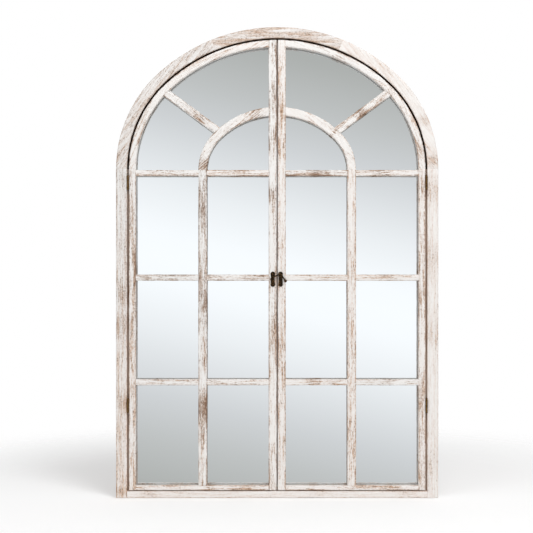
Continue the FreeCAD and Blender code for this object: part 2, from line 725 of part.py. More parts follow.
def door_stiles(side):
    name = side_name(side)
    outer = new_body(f"{name}_outer_stile_blank")
    layer(outer, DOOR_BACK, "door_thickness", rectangle, times(side, STILE_EDGE), DOOR_BOTTOM,
          times(side, DOOR_EDGE), "spring_height")
    node(f"{name}_outer_stile", cut(outer, *leaf_screw_holes(side, -1)))
    meeting = new_body(f"{name}_meeting_stile_blank")
    edges = (times(side, "centre_gap / 2"), times(side, MEETING_EDGE))
    left, right = edges if side > 0 else edges[::-1]
    layer(meeting, DOOR_BACK, "door_thickness", upright_outline, left, right, DOOR_BOTTOM,
          f"{CROWN_R} - {DOOR_INSET}")
    node(f"{name}_meeting_stile", cut(meeting, *plate_nails(side, "screw_clearance")))


def door_rails(side):
    name = side_name(side)
    door_member(f"{name}_bottom_rail", DOOR_BACK, "door_thickness", rectangle,
                times(side, MEETING_EDGE), DOOR_BOTTOM, times(side, STILE_EDGE),
                f"{DOOR_BOTTOM} + bottom_rail_height")
    haunch_outer = f"({HAUNCH_R} - {DOOR_INSET})"
    crown_outer = f"({CROWN_R} - {DOOR_INSET})"
    door_member(f"{name}_arch_rail_lower", DOOR_BACK, "door_thickness", arc_band,
                *mirrored_band(side, HAUNCH_X, "spring_height", f"{haunch_outer} - stile_width",
                               haunch_outer, ("angle", "0"), ("angle", "90 - haunch_angle")))
    door_member(f"{name}_arch_rail_upper", DOOR_BACK, "door_thickness", arc_band,
                *mirrored_band(side, "0", CROWN_Z, f"{crown_outer} - stile_width", crown_outer,
                               ("angle", "90 - haunch_angle"), ("upright", MEETING_EDGE)))


def door_lattice(side):
    name = side_name(side)
    door_member(f"{name}_muntin", LATTICE_BACK, "lattice_thickness", rectangle,
                times(side, MUNTIN_INNER), f"{DOOR_BOTTOM} + bottom_rail_height",
                times(side, MUNTIN_OUTER), INNER_SPRING)
    for level, middle in (("lower", LOWER_BAR), ("middle", MIDDLE_BAR), ("upper", UPPER_BAR)):
        low = f"({middle} - bar_height / 2)"
        for place, start, end in (("inner", MEETING_EDGE, MUNTIN_INNER), ("outer", MUNTIN_OUTER, STILE_EDGE)):
            door_member(f"{name}_{level}_bar_{place}", LATTICE_BACK, "lattice_thickness", rectangle,
                        times(side, start), low, times(side, end), f"{low} + bar_height")
    arch = new_body(f"{name}_inner_arch")
    layer(arch, LATTICE_BACK, "lattice_thickness", arc_band,
          *mirrored_band(side, INNER_X, INNER_SPRING, f"{INNER_R} - muntin_width", INNER_R,
                         ("angle", "0"), ("angle", "90 - inner_haunch_angle")))
    layer(arch, LATTICE_BACK, "lattice_thickness", arc_band,
          *mirrored_band(side, "0", INNER_CROWN_Z, f"{INNER_CROWN_R} - muntin_width", INNER_CROWN_R,
                         ("angle", "90 - inner_haunch_angle"), ("upright", MEETING_EDGE)))
    node(f"{name}_inner_arch", arch)
    radial_bar(side)


def radial_bar(side):
    """A straight bar between the small arch and the arch rail, its ends cut to their curves."""
    name = side_name(side)
    along_x, along_z = "cos(radial_angle)", "sin(radial_angle)"
    half = "radial_width / 2"
    corners = []
    for reach, across in (("0", "-1"), (HALF, "-1"), (HALF, "1"), ("0", "1")):
        x = f"{reach} * {along_x} - {across} * {half} * {along_z}"
        z = f"{RADIAL_FOCUS} + {reach} * {along_z} + {across} * {half} * {along_x}"
        corners.append((times(side, x), z))
    strip = layer(new_body(f"{name}_radial_strip"), LATTICE_BACK, "lattice_thickness", polygon, corners)
    inside = layer(new_body(f"{name}_door_inside"), LATTICE_BACK, "lattice_thickness", arched_outline,
                   HALF, "sill_height", "spring_height", "arch_rise", "haunch_angle",
                   f"({DOOR_INSET} + stile_width)")
    below = layer(new_body(f"{name}_small_arch_inside"), LATTICE_BACK, "lattice_thickness",
                  arched_outline, MUNTIN_OUTER, LOWER_BAR, INNER_SPRING, "inner_rise",
                  "inner_haunch_angle", "0")
    trimmed = doc.addObject("Part::Common", "trimmed")
    trimmed.Base = strip
    trimmed.Tool = inside
    node(f"{name}_radial_bar", cut(trimmed, below))


def door_hardware(side):
    name = side_name(side)
    for level_name, level in hinge_levels():
        node(f"{name}_{level_name}_hinge_door_leaf", hinge_leaf(side, -1, level))
    node(f"{name}_leaf_screws", grouped(leaf_screws(side, -1)))
    role = "hook" if side > 0 else "catch"
    node(f"{role}_plate", latch_plate(side))
    node(f"{role}_nails", grouped(plate_nails(side)))


# ---------------------------------------------------------------- latch

ROD_Y = f"({PLATE_FRONT} - knob_clearance - knob_radius)"
PIVOT_Z = f"({LATCH_Z} + pivot_rise)"
CURVE_R = "(stud_radius + hook_slack + rod_radius)"


def catch_stud():
    """The stud stands on the catch plate; its head reaches over the bend of the hook."""
    head_back = f"({ROD_Y} - rod_radius - stud_head_clearance)"
    shank = rod("stud_radius", f"{PLATE_FRONT} - {head_back}", "-catch_offset", PLATE_FRONT, LATCH_Z, "-y")
    rim = rod("stud_head", "stud_head_thickness", "-catch_offset", head_back, LATCH_Z, "-y")
    crown = taper("stud_head", "stud_crown", "stud_crown_height", "-catch_offset",
                  f"{head_back} - stud_head_thickness", LATCH_Z, "-y")
    node("catch_stud", fused(shank, rim, crown))


def hook_pivot():
    """The rivet: a shoulder on the plate, a shank through the eye and a head in front of it."""
    half_seat = "(eye_thickness / 2 + eye_clearance)"
    shoulder = rod("rivet_head", f"{PLATE_FRONT} - ({ROD_Y} + {half_seat})",
                   "hook_offset", PLATE_FRONT, PIVOT_Z, "-y")
    shank = rod("pivot_radius", f"{PLATE_FRONT} - ({ROD_Y} - {half_seat})",
                "hook_offset", PLATE_FRONT, PIVOT_Z, "-y")
    head = rod("rivet_head", "rivet_head_thickness", "hook_offset",
               f"{ROD_Y} - {half_seat}", PIVOT_Z, "-y")
    node("hook_pivot", fused(shoulder, shank, head))


def straight_rod(skip, x0, z0, x1, z1):
    """A round rod in the plane of the hook, from a distance past one point to another point."""
    bar = doc.addObject("Part::Cylinder", "bar")
    run, climb = f"({x1} - ({x0}))", f"({z1} - ({z0}))"
    length = f"sqrt({run} ^ 2 + {climb} ^ 2)"
    bind(bar, Radius="rod_radius", Height=f"{length} - ({skip})")
    turned(bar, (0, 1, 0), f"90 - atan2({climb}; {run}) / (1 deg)")
    return moved(bar, f"{x0} + {skip} * {run} / {length}", ROD_Y, f"{z0} + {skip} * {climb} / {length}")


def ball(radius, x, z):
    sphere = doc.addObject("Part::Sphere", "ball")
    bind(sphere, Radius=radius)
    return moved(sphere, x, ROD_Y, z)


def latch_hook():
    """A rod that runs from the eye to the stud and bends down behind it, and a tail with a ball.

    The rod leaves the eye as a tangent to the bend, and the bend leaves the stud free
    on the side from which the hook is lifted.
    """
    span = "(hook_offset + catch_offset)"
    entry = (f"((atan2(pivot_rise; {span}) + acos({CURVE_R} / sqrt({span} ^ 2 + pivot_rise ^ 2)))"
             " / (1 deg))")
    entry_x = f"(-catch_offset + {CURVE_R} * cos({entry}))"
    entry_z = f"({LATCH_Z} + {CURVE_R} * sin({entry}))"
    end_x = f"(-catch_offset + {CURVE_R} * cos({entry} + hook_wrap))"
    end_z = f"({LATCH_Z} + {CURVE_R} * sin({entry} + hook_wrap))"
    knob_x = "(hook_offset + tail_length * cos(tail_angle))"
    knob_z = f"({PIVOT_Z} - tail_length * sin(tail_angle))"
    bend = doc.addObject("Part::Torus", "bend")
    bind(bend, Radius1=CURVE_R, Radius2="rod_radius", Angle3="hook_wrap")
    turned(bend, (1, 0, 0), 90)
    curve = grouped([bend])
    turned(curve, (0, 1, 0), f"-{entry}")
    moved(curve, "-catch_offset", ROD_Y, LATCH_Z)
    eye_back = f"{ROD_Y} + eye_thickness / 2"
    eye = cut(rod("eye_radius", "eye_thickness", "hook_offset", eye_back, PIVOT_Z, "-y"),
              rod("pivot_radius + running_clearance", "eye_thickness", "hook_offset", eye_back,
                  PIVOT_Z, "-y"))
    rim = "(eye_radius * 3 / 4)"
    node("latch_hook", fused(
        eye,
        straight_rod(rim, "hook_offset", PIVOT_Z, entry_x, entry_z),
        curve,
        ball("rod_radius", end_x, end_z),
        straight_rod(rim, "hook_offset", PIVOT_Z, knob_x, knob_z),
        ball("knob_radius", knob_x, knob_z),
    ))


# ---------------------------------------------------------------- assembly

for each_side in (-1, 1):
    frame_post(each_side)
    frame_arch_side(each_side)
frame_sill()
frame_arch_crown()
frame_mullion()
sheet("mirror_glass", "board_thickness", "mirror_thickness")
sheet("backing_board", "0", "board_thickness")
back_hardware()
frame_hinge_parts()
for each_side in (-1, 1):
    door_stiles(each_side)
    door_rails(each_side)
    door_lattice(each_side)
    door_hardware(each_side)
catch_stud()
hook_pivot()
latch_hook()
doc.recompute()

for item in doc.Objects:
    if "Invalid" in item.State or "Error" in item.State:
        raise RuntimeError(f"{item.Name} ({item.Label}) could not be built")
os.makedirs("parts", exist_ok=True)
for piece in nodes:
    if piece.Shape.isNull() or not piece.Shape.isValid() or not piece.Shape.Solids:
        raise RuntimeError(f"{piece.Label} has no valid solid")
    piece.Shape.exportStep(os.path.join("parts", piece.Label + ".step"))
print(len(nodes), "pieces written")
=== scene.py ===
"""Looks of an arched window mirror: worn whitewashed wood, one mirror sheet and small metal hardware.

Every wooden member is rebuilt as a fine mesh with worn, uneven edges and its own grain, in the
place of its CAD node. Sizes are millimetres from the middle of the mirror (x), from the back of the
frame (d, towards the viewer) and from the underside of the sill (z). The lamps, the floor and the
camera are in metres, as the scene is.
"""
import math

import bpy
import bmesh
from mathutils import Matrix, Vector, noise


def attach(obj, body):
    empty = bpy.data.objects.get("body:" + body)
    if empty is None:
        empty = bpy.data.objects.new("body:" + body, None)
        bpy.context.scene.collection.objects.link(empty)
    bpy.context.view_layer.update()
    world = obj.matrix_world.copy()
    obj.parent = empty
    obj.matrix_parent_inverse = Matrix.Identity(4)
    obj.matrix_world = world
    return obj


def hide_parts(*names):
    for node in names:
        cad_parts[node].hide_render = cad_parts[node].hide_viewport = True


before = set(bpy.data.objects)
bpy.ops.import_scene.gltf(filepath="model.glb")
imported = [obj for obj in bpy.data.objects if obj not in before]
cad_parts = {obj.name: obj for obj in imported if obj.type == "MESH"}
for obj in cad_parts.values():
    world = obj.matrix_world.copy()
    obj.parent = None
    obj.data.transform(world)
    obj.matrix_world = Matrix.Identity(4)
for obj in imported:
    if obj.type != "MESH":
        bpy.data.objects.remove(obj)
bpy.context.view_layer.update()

MM = 0.001
HANGER_Z = 760  # the origin of the model lies this far above the underside of the sill

# the frame
HALF = 425  # half the width
SPRING = 868  # the height at which the arch starts
RISE = 374  # of the arch above its spring
HAUNCH_ANGLE = 43  # from the middle of the crown arc to its ends
JOINT_ANGLE = 22  # from the middle of the crown piece to its ends
MEMBER = 29  # the width of the posts and the arch
SILL = 18
LIP = 12  # the lip's reach beyond a member
LIP_BACK = 7
LIP_FRONT = 13
DEPTH = 30
MULLION = 16

# the doors
DOOR_INSET = 34  # from the outside of the frame to the outside of a door
DOOR_BOTTOM = 20.5
DOOR_BACK = 14
LATTICE_BACK = 16  # the back of the thinner bars
BAR_FRONT = 29.5
MUNTIN_FRONT = 29.8
STILE = 18.5
CENTRE_GAP = 3
MEETING = 21
BOTTOM_RAIL = 12.5
MUNTIN = 23
MUNTIN_X = 196.5  # the middle of the upright bar
BAR = 16
BARS = {"lower": 305, "middle": 581, "upper": 857}
INNER_RISE = 166.5
INNER_ANGLE = 45
RADIAL = 21
RADIAL_ANGLE = 36.5
RADIAL_FOCUS = 852  # the height at which the line of a slanting bar passes x = 0

# hinges
HINGE_X = 393.5
HINGE_D = 31.5
HINGE_LEVELS = {"upper": 832, "lower": 244}
HINGE_LENGTH = 38
KNUCKLE = 2.5  # its radius
KNUCKLE_BEVEL = 0.25
KNUCKLE_GAP = 0.3
LEAF = 1.2
LEAF_REACH = 14
PIN = 1.0

# the latch: the catch on the left door, the hook on the right one
LATCH_Z = 577
PLATE_FRONT = 31.5
PLATE = 1.5
PLATE_HALF = 20
LOBE = 6.2
PLATE_WAIST = 5.2
NAIL_INSET = 3.4
CATCH_X = -11.5
HOOK_X = 8.8
PIVOT_Z = LATCH_Z + 13.5
ROD_D = 35.4
EYE_HALF = 1.6  # half the thickness of the rivet's room for the hook's eye
ROD = 1.6
STEM = 2.0
BEND = 5.3  # the radius of the hook's bend round the stud
HOOK_WRAP = 98
TAIL = 22
TAIL_ANGLE = 54
KNOB = 4.0

# the back
CLIP = 1.2
CLIP_HEIGHTS = (190, SPRING - 434, SPRING - 208)
CLIP_SILL_X = 200
CLIP_HAUNCH = 23  # degrees round the arch
CLIP_CROWN = 58
CLIP_HALF = 9  # to the middle of its round corners
CLIP_CORNER = 3
CLIP_HOLE = 6
PLATE_SCREW = 18  # from the middle of a hanger plate to its screws
PAD_Z = 24
PAD_HAUNCH = 35


# ---- arches

class Arch:
    """An arch with three centres: two haunch arcs and a flatter crown arc between them."""

    def __init__(self, half_span, rise, angle, spring):
        half_turn = math.tan(math.radians(angle / 2))
        self.angle = angle
        self.spring = spring
        self.haunch_radius = (rise - half_span * half_turn) / (1 - half_turn)
        self.haunch_x = half_span - self.haunch_radius
        drop = self.haunch_x / math.tan(math.radians(angle))
        self.crown_radius = rise + drop
        self.crown_z = spring - drop

    def haunch(self, a, turn):
        """A point on the right-hand haunch, a millimetres inside the arch."""
        radius, at = self.haunch_radius - a, math.radians(turn)
        return self.haunch_x + radius * math.cos(at), self.spring + radius * math.sin(at)

    def crown(self, a, turn):
        radius, at = self.crown_radius - a, math.radians(turn)
        return radius * math.cos(at), self.crown_z + radius * math.sin(at)

    def crown_turn(self, a, x):
        """The angle at which the crown arc passes over x."""
        return math.degrees(math.acos(x / (self.crown_radius - a)))

    def crown_height(self, a, x):
        return self.crown_z + math.sqrt((self.crown_radius - a) ** 2 - x ** 2)

    def inside(self, x, z, a):
        """How far a point lies inside the arch drawn in by a."""
        if math.degrees(math.atan2(z - self.crown_z, x)) > 90 - self.angle:
            return self.crown_radius - a - math.hypot(x, z - self.crown_z)
        return self.haunch_radius - a - math.hypot(x - self.haunch_x, z - self.spring)


ARCH = Arch(HALF, RISE, HAUNCH_ANGLE, SPRING)
INNER_SPRING = BARS["upper"] + BAR / 2
INNER = Arch(MUNTIN_X + MUNTIN / 2, INNER_RISE, INNER_ANGLE, INNER_SPRING)


# ---- outlines across a member

class Profile:
    """A closed outline of right-angled corners.

    A corner is (a, d, radius, paint): a across the member, d from the back, and the paint on the
    side that starts there, from 0 on raw wood to 1. Below 0 the wood gets painted shade: a dark
    brown colour.
    """

    cell = 3.0  # the distance between points along a side
    steps = 3  # in a rounded corner
    worn_radius = 1  # corners at least this round are worn
    on_corner = 0.5  # the most that a point of a worn corner counts as away from it

    def __init__(self, corners):
        self.corners = corners
        self.specs = []
        count = len(corners)
        for i, (a, d, radius, paint) in enumerate(corners):
            before = Vector(corners[i - 1][:2])
            here = Vector((a, d))
            after = Vector(corners[(i + 1) % count][:2])
            came, goes = (here - before).normalized(), (after - here).normalized()
            if radius:
                for step in range(self.steps + 1):
                    turn = math.pi / 2 * step / self.steps
                    offset = goes * (1 - math.cos(turn)) - came * (1 - math.sin(turn))
                    self.specs.append((i, offset, None))
            else:
                self.specs.append((i, Vector((0, 0)), None))
            cells = max(1, round((after - here).length / self.cell))
            for cut in range(1, cells):
                self.specs.append((i, None, cut / cells))
        self.shape = self.points([1] * count)
        self.normals = self._normals()
        self.edge, self.paint = self._marks()

    def points(self, scales):
        """The outline with each corner's radius scaled."""
        rounded = []
        ends = {}
        for i, offset, _ in self.specs:
            if offset is None:
                rounded.append(None)
                continue
            a, d, radius, _ = self.corners[i]
            place = Vector((a, d)) + offset * radius * scales[i]
            rounded.append(place)
            ends.setdefault(i, [place, place])[1] = place
        result = []
        for (i, _, share), place in zip(self.specs, rounded):
            if place is None:
                after = (i + 1) % len(self.corners)
                place = ends[i][1].lerp(ends[after][0], share)
            result.append(place)
        return result

    def _normals(self):
        shape = self.shape
        area = sum(p.x * q.y - q.x * p.y for p, q in zip(shape, shape[1:] + shape[:1]))
        out = 1 if area > 0 else -1
        normals = []
        for before, after in zip(shape[-1:] + shape[:-1], shape[1:] + shape[:1]):
            along = (after - before).normalized()
            normals.append(Vector((along.y, -along.x)) * out)
        return normals

    def _marks(self):
        """For each point, the distance to the nearest worn corner and the paint on it."""
        worn = [Vector(corner[:2]) for corner in self.corners if corner[2] >= self.worn_radius]
        edge, paint = [], []
        for (i, offset, _), place in zip(self.specs, self.shape):
            _, _, radius, coat = self.corners[i]
            nearest = min((place - corner).length for corner in worn)
            if offset is not None:
                coat = max(coat, self.corners[i - 1][3])
                if radius >= self.worn_radius:
                    nearest = min(nearest, self.on_corner)
            edge.append(nearest)
            paint.append(coat)
        return edge, paint


PAINTED_SHADE = -0.4  # the paint value of painted shade: dark brown in the deep gaps beside the arch


def frame_profile(width, rebate, back_cuts=()):
    """A frame member: doors close in front of its lip, the mirror lies behind it.

    Rebate is the paint beside the doors; a value below 0 paints shade there.
    """
    inner = width + LIP
    corners = [
        (0, 0, 1.2, 0.9), (0, DEPTH, 2.2, 1), (width, DEPTH, 1.8, rebate),
        (width, LIP_FRONT, 0, rebate), (inner, LIP_FRONT, 0.6, 0.9), (inner, LIP_BACK, 0.6, 0.6),
        (width, LIP_BACK, 0, 0), (width, 0, 0.8, 0),
    ]
    corners += [(a, 0, 0, 0) for a in back_cuts]
    return Profile(corners)


def door_profile(width, back, front=DEPTH, outer=1.0):
    """A door member: outer is the paint on its first side."""
    return Profile([(0, back, 0.9, outer), (0, front, 2.2, 1), (width, front, 2.2, 1),
                    (width, back, 0.9, 1)])


# ---- meshes

def ramp(value, low, high):
    """Smooth step from 0 at low to 1 at high."""
    share = min(max((value - low) / (high - low), 0), 1)
    return share * share * (3 - 2 * share)


def place_point(x, d, z):
    """The place in the scene of a point in millimetres."""
    return Vector((x, -d, z - HANGER_Z)) * MM


def new_object(name, points, faces, material, body, node, sharp=35):
    """A smooth mesh object from points (x, d, z) that stands for a CAD node."""
    mesh = bpy.data.meshes.new(name)
    mesh.from_pydata([place_point(*p) for p in points], [], faces)
    outward = bmesh.new()
    outward.from_mesh(mesh)
    bmesh.ops.recalc_face_normals(outward, faces=outward.faces)
    outward.to_mesh(mesh)
    outward.free()
    mesh.shade_smooth()
    mesh.set_sharp_from_angle(angle=math.radians(sharp))
    mesh.materials.append(material)
    piece = bpy.data.objects.new(name, mesh)
    bpy.context.scene.collection.objects.link(piece)
    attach(piece, body)
    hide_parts(node)
    return piece


def store(mesh, name, kind, values):
    """Keep a value for each point, which the materials read."""
    layer = mesh.attributes.new(name, kind, "POINT")
    if kind == "FLOAT_VECTOR":
        layer.data.foreach_set("vector", [c for v in values for c in v])
    else:
        layer.data.foreach_set("value", values)


# ---- wear, by piece

# How bare a member is, how warm its bare wood looks, and stretches that are barer:
# (middle, half length, amount) as shares of the member from its lower or inner end, or from the
# left end of the sill and the right end of the crown.
PLAIN = (0.30, 0.5, ())
WEAR = {
    "frame_post_left": (0.46, 0.42, (
        (0.02, 0.02, 0.225), (0.62, 0.06, 0.175), (0.53, 0.05, 0.15), (0.3, 0.05, 0.1))),
    "frame_post_right": (0.28, 0.75, (
        (0.93, 0.07, 0.2), (0.74, 0.07, 0.175), (0.5, 0.06, 0.15), (0.1, 0.08, 0.15))),
    "frame_arch_left": (0.46, 0.35, ((0.05, 0.12, 0.075),)),
    "frame_arch_right": (0.3, 0.75, ((0.3, 0.06, 0.2), (0.05, 0.05, 0.25), (0.72, 0.1, 0.1))),
    "frame_arch_crown": (0.5, 0.6, ((0.3, 0.2, 0.05),)),
    "frame_sill": (0.28, 0.85, ((0.08, 0.05, 0.15), (0.93, 0.05, 0.15))),
    "left_outer_stile": (0.38, 0.6, ((0.68, 0.12, 0.175), (0.15, 0.1, 0.05))),
    "right_outer_stile": (0.34, 0.7, ((0.95, 0.04, 0.225), (0.64, 0.14, 0.25), (0.3, 0.1, 0.1))),
    "left_meeting_stile": (0.3, 0.35, (
        (0.87, 0.04, 0.1), (0.78, 0.05, 0.15), (0.66, 0.03, 0.25), (0.36, 0.08, 0.2))),
    "right_meeting_stile": (0.34, 0.8, ((0.83, 0.05, 0.225), (0.68, 0.06, 0.1), (0.3, 0.1, 0.1))),
    "left_muntin": (0.46, 0.4, (
        (0.58, 0.12, 0.15), (0.25, 0.08, 0.225), (0.85, 0.1, 0.1), (0.1, 0.04, -0.2))),
    "right_muntin": (0.34, 0.85, ((0.45, 0.12, 0.125), (0.15, 0.08, 0.15))),
    "left_inner_arch": (0.32, 0.5, ((0.05, 0.14, 0.325), (0.85, 0.1, 0.15))),
    "right_inner_arch": (0.22, 0.6, ((0.45, 0.03, 0.35), (0.1, 0.1, 0.125))),
    "left_radial_bar": (0.3, 0.45, ((0.3, 0.15, 0.175),)),
    "right_radial_bar": (0.3, 0.5, ((0.45, 0.2, 0.4), (0.15, 0.05, 0.2))),
    "left_arch_rail_lower": (0.3, 0.5, ((0.4, 0.2, 0.075),)),
    "right_arch_rail_lower": (0.26, 0.6, ((0.25, 0.2, 0.3),)),
    "left_arch_rail_upper": (0.24, 0.7, ((0.5, 0.2, 0.075),)),
    "right_arch_rail_upper": (0.2, 0.45, ((0.5, 0.15, 0.3),)),
    "left_bottom_rail": (0.32, 0.9, ((0.45, 0.06, 0.3), (0.75, 0.1, 0.1))),
    "right_bottom_rail": (0.32, 0.9, ((0.2, 0.1, 0.2), (0.8, 0.08, 0.15))),
    "left_upper_bar_inner": (0.34, 0.75, ((0.5, 0.3, 0.175),)),
    "left_upper_bar_outer": (0.3, 0.5, ((0.5, 0.3, 0.075),)),
    "right_upper_bar_inner": (0.34, 0.5, ((0.55, 0.3, 0.4),)),
    "right_upper_bar_outer": (0.32, 0.65, ((0.4, 0.3, 0.25),)),
    "left_middle_bar_inner": (0.34, 0.45, ()),
    "left_middle_bar_outer": (0.36, 0.3, ((0.4, 0.2, 0.1),)),
    "right_middle_bar_inner": (0.28, 0.7, ()),
    "right_middle_bar_outer": (0.24, 0.8, ((0.5, 0.3, 0.175),)),
    "left_lower_bar_inner": (0.3, 0.6, ()),
    "left_lower_bar_outer": (0.28, 0.5, ()),
    "right_lower_bar_inner": (0.3, 0.75, ((0.45, 0.2, 0.175),)),
    "right_lower_bar_outer": (0.28, 0.5, ((0.5, 0.2, 0.2),)),
}
# How strongly the edges of a member are chipped, where that isn't 1.
ROUGH = {"left_radial_bar": 4.0, "right_radial_bar": 2.4, "left_inner_arch": 2.0, "left_muntin": 1.6,
         "right_inner_arch": 1.5}
# What is added to the warmth at the two ends of a member.
TURNING = {"frame_post_left": (0.5, -0.3), "left_outer_stile": (0.3, -0.2), "left_muntin": (0.2, -0.2),
           "frame_arch_right": (-0.1, 0.1), "left_meeting_stile": (0.3, -0.1)}
# How much of the wear's unevenness the members of the frame show.
SMOOTH = 0.5


def bareness(node, share):
    """How much of the paint is gone, at a share of the member's length."""
    base, _, stretches = WEAR.get(node, PLAIN)
    for middle, half, amount in stretches:
        base += amount * ramp(1 - abs(share - middle) / half, 0, 0.9)
    return base


def warmth(node, share):
    """How tan, rather than grey, the bare wood looks: some pieces change along their length."""
    low, high = TURNING.get(node, (0, 0))
    return WEAR.get(node, PLAIN)[1] + low + (high - low) * share


# ---- members

# How a member ends: its overlap with the neighbour, the depth of its bevel, the bevel's length.
TEE = (0.5, 0, 1)
BUTT = (0.2, 0.25, 0.5)
FREE = (0, 1.2, 1.5)

# The direction of a member's fibres in degrees: curved ones are sawn about along their chords.
LEVEL = 0
UPRIGHT = 90
FRAME_ARCH_GRAIN = 127
LOWER_RAIL_GRAIN = 113
UPPER_RAIL_GRAIN = 155
INNER_ARCH_GRAIN = 140

ROW = 5.0  # the distance between the rows of points along a member

# Unevenness of the surface: its height, and its length along and across the fibres.
WOBBLE = (0.22, 90, 25)
RIPPLE = (0.12, 30, 3)
LUMP = (0.30, 11, 7)
CHIP = (0.9, 13, 6)
CHIPPED = 3.5  # how far from a worn corner the chips and lumps reach


def uneven(fibre, kind, shift):
    """Noise at a point given along and across the fibres."""
    _, along, across = kind
    return noise.noise(Vector((fibre.x / along, fibre.y / across, fibre.z / across)) + shift)


def member(node, body, profile, place, length, side, grain, start, end, dent=None):
    """A wooden piece: the profile is carried along place(share, a), which gives x and z.

    Side -1 mirrors it to the left. Grain is the direction of its fibres. Start and end say how it
    meets its neighbours. Dent adds rows and sinks parts of its back.
    """
    seed = 31.7 * (len(bpy.data.meshes) % 97) + 5.3 * side  # its own place in the noise
    steps = max(6, round(length / ROW))
    rows = [length * i / steps for i in range(1, steps)]
    rows = [r for r in rows if start[2] < r < length - end[2]]
    rows = [-start[0], start[2] * 0.5, start[2]] + rows
    rows += [length - end[2], length - end[2] * 0.5, length + end[0]]
    if dent:
        rows = sorted(rows + [cut for cut in dent.rows if cut not in rows])
    points, marks = [], []
    turn = math.radians(grain)
    for row in rows:
        share = row / length
        bevel = max(start[1] * (1 - max(row, 0) / start[2]),
                    end[1] * (1 - max(length - row, 0) / end[2]), 0)
        scales = [1 + 0.5 * noise.noise(Vector((seed + 7 * i, row / 30, 0)))
                  for i in range(len(profile.corners))]
        bare, warm = bareness(node, share), warmth(node, share)
        for i, spot in enumerate(profile.points(scales)):
            a, d = spot - profile.normals[i] * bevel
            x, z = place(share, a)
            if dent:
                d += dent.depth(a, d, z)
            points.append(Vector((side * x, d, z)))
            marks.append((profile.edge[i], profile.paint[i], bare, warm))
    around = len(profile.specs)
    faces = []
    for row in range(len(rows) - 1):
        for i in range(around):
            j = (i + 1) % around
            faces.append((row * around + i, row * around + j,
                          (row + 1) * around + j, (row + 1) * around + i))
    faces.append(tuple(range(around)))
    faces.append(tuple(range((len(rows) - 1) * around, len(rows) * around)))
    piece = new_object(f"{node}_wood", points, faces, WOOD, body, node)
    mesh = piece.data
    rough = ROUGH.get(node, 1.0)
    shift = Vector((seed, seed * 0.37, seed * 0.11))
    fibres, places = [], []
    normals = [Vector(normal.vector) for normal in mesh.vertex_normals]
    for p, normal, (edge, paint, _, _) in zip(points, normals, marks):
        x = side * p.x
        along = x * math.cos(turn) + p.z * math.sin(turn)
        across = p.z * math.cos(turn) - x * math.sin(turn)
        fibre = Vector((along, across, p.y))
        wobble, ripple, lump = (kind[0] * uneven(fibre, kind, shift) for kind in (WOBBLE, RIPPLE, LUMP))
        chip = ramp(uneven(fibre, CHIP, -shift), 0.2, 0.5)
        near = ramp(CHIPPED - edge, 0, CHIPPED)
        push = (wobble + ripple + lump * rough * near) * (0.3 + 0.7 * ramp(paint, 0.3, 0.8))
        push -= CHIP[0] * rough * chip * near * ramp(paint, 0.2, 0.6)
        places.extend(place_point(*p) + normal * push * MM)
        fibres.append(fibre * MM + shift)
    mesh.vertices.foreach_set("co", places)
    mesh.update()
    store(mesh, "fibre", "FLOAT_VECTOR", fibres)
    for name, values in zip(("edge", "paint", "bare", "warm"), zip(*marks)):
        store(mesh, name, "FLOAT", values)
    store(mesh, "rugged", "FLOAT", [SMOOTH if body == "frame" else 1.0] * len(marks))


def straight(x0, z0, x1, z1, across):
    """A straight run whose a axis points along across."""
    def place(share, a):
        return x0 + (x1 - x0) * share + across[0] * a, z0 + (z1 - z0) * share + across[1] * a
    return place, math.hypot(x1 - x0, z1 - z0)


def haunch_and_crown(arch, haunch_to, crown_to):
    """A run round the haunch, from the spring, and on round the crown to the angle crown_to(a)."""
    low = math.radians(haunch_to) * arch.haunch_radius
    high = math.radians(crown_to(0) - haunch_to) * arch.crown_radius
    split = low / (low + high)

    def place(share, a):
        if share < split:
            return arch.haunch(a, haunch_to * share / split)
        rest = (share - split) / (1 - split)
        return arch.crown(a, haunch_to + (crown_to(a) - haunch_to) * rest)
    return place, low + high


SEAT_STEPS = ((8, 23, 1.5), (6, 13, 12))  # half width, half height, depth
SEAT_WALL = 0.04  # how much its walls slope


class HangerSeat:
    """The seat of a hanger plate in the back of a post, and the pocket behind its keyhole."""

    def __init__(self):
        self.columns = []
        self.rows = []
        for half_width, half_height, _ in SEAT_STEPS:
            self.columns += [MEMBER / 2 + half_width, MEMBER / 2 + half_width - SEAT_WALL,
                             MEMBER / 2 - half_width + SEAT_WALL, MEMBER / 2 - half_width]
            for sign in (-1, 1):
                middle = HANGER_Z + sign * half_height
                self.rows += [middle - SEAT_WALL / 2, middle + SEAT_WALL / 2]
        self.columns.sort(reverse=True)

    def depth(self, a, d, z):
        sunk = 0
        for half_width, half_height, depth in SEAT_STEPS:
            if d < 0.5 and abs(a - MEMBER / 2) < half_width and abs(z - HANGER_Z) < half_height:
                sunk = depth
        return sunk


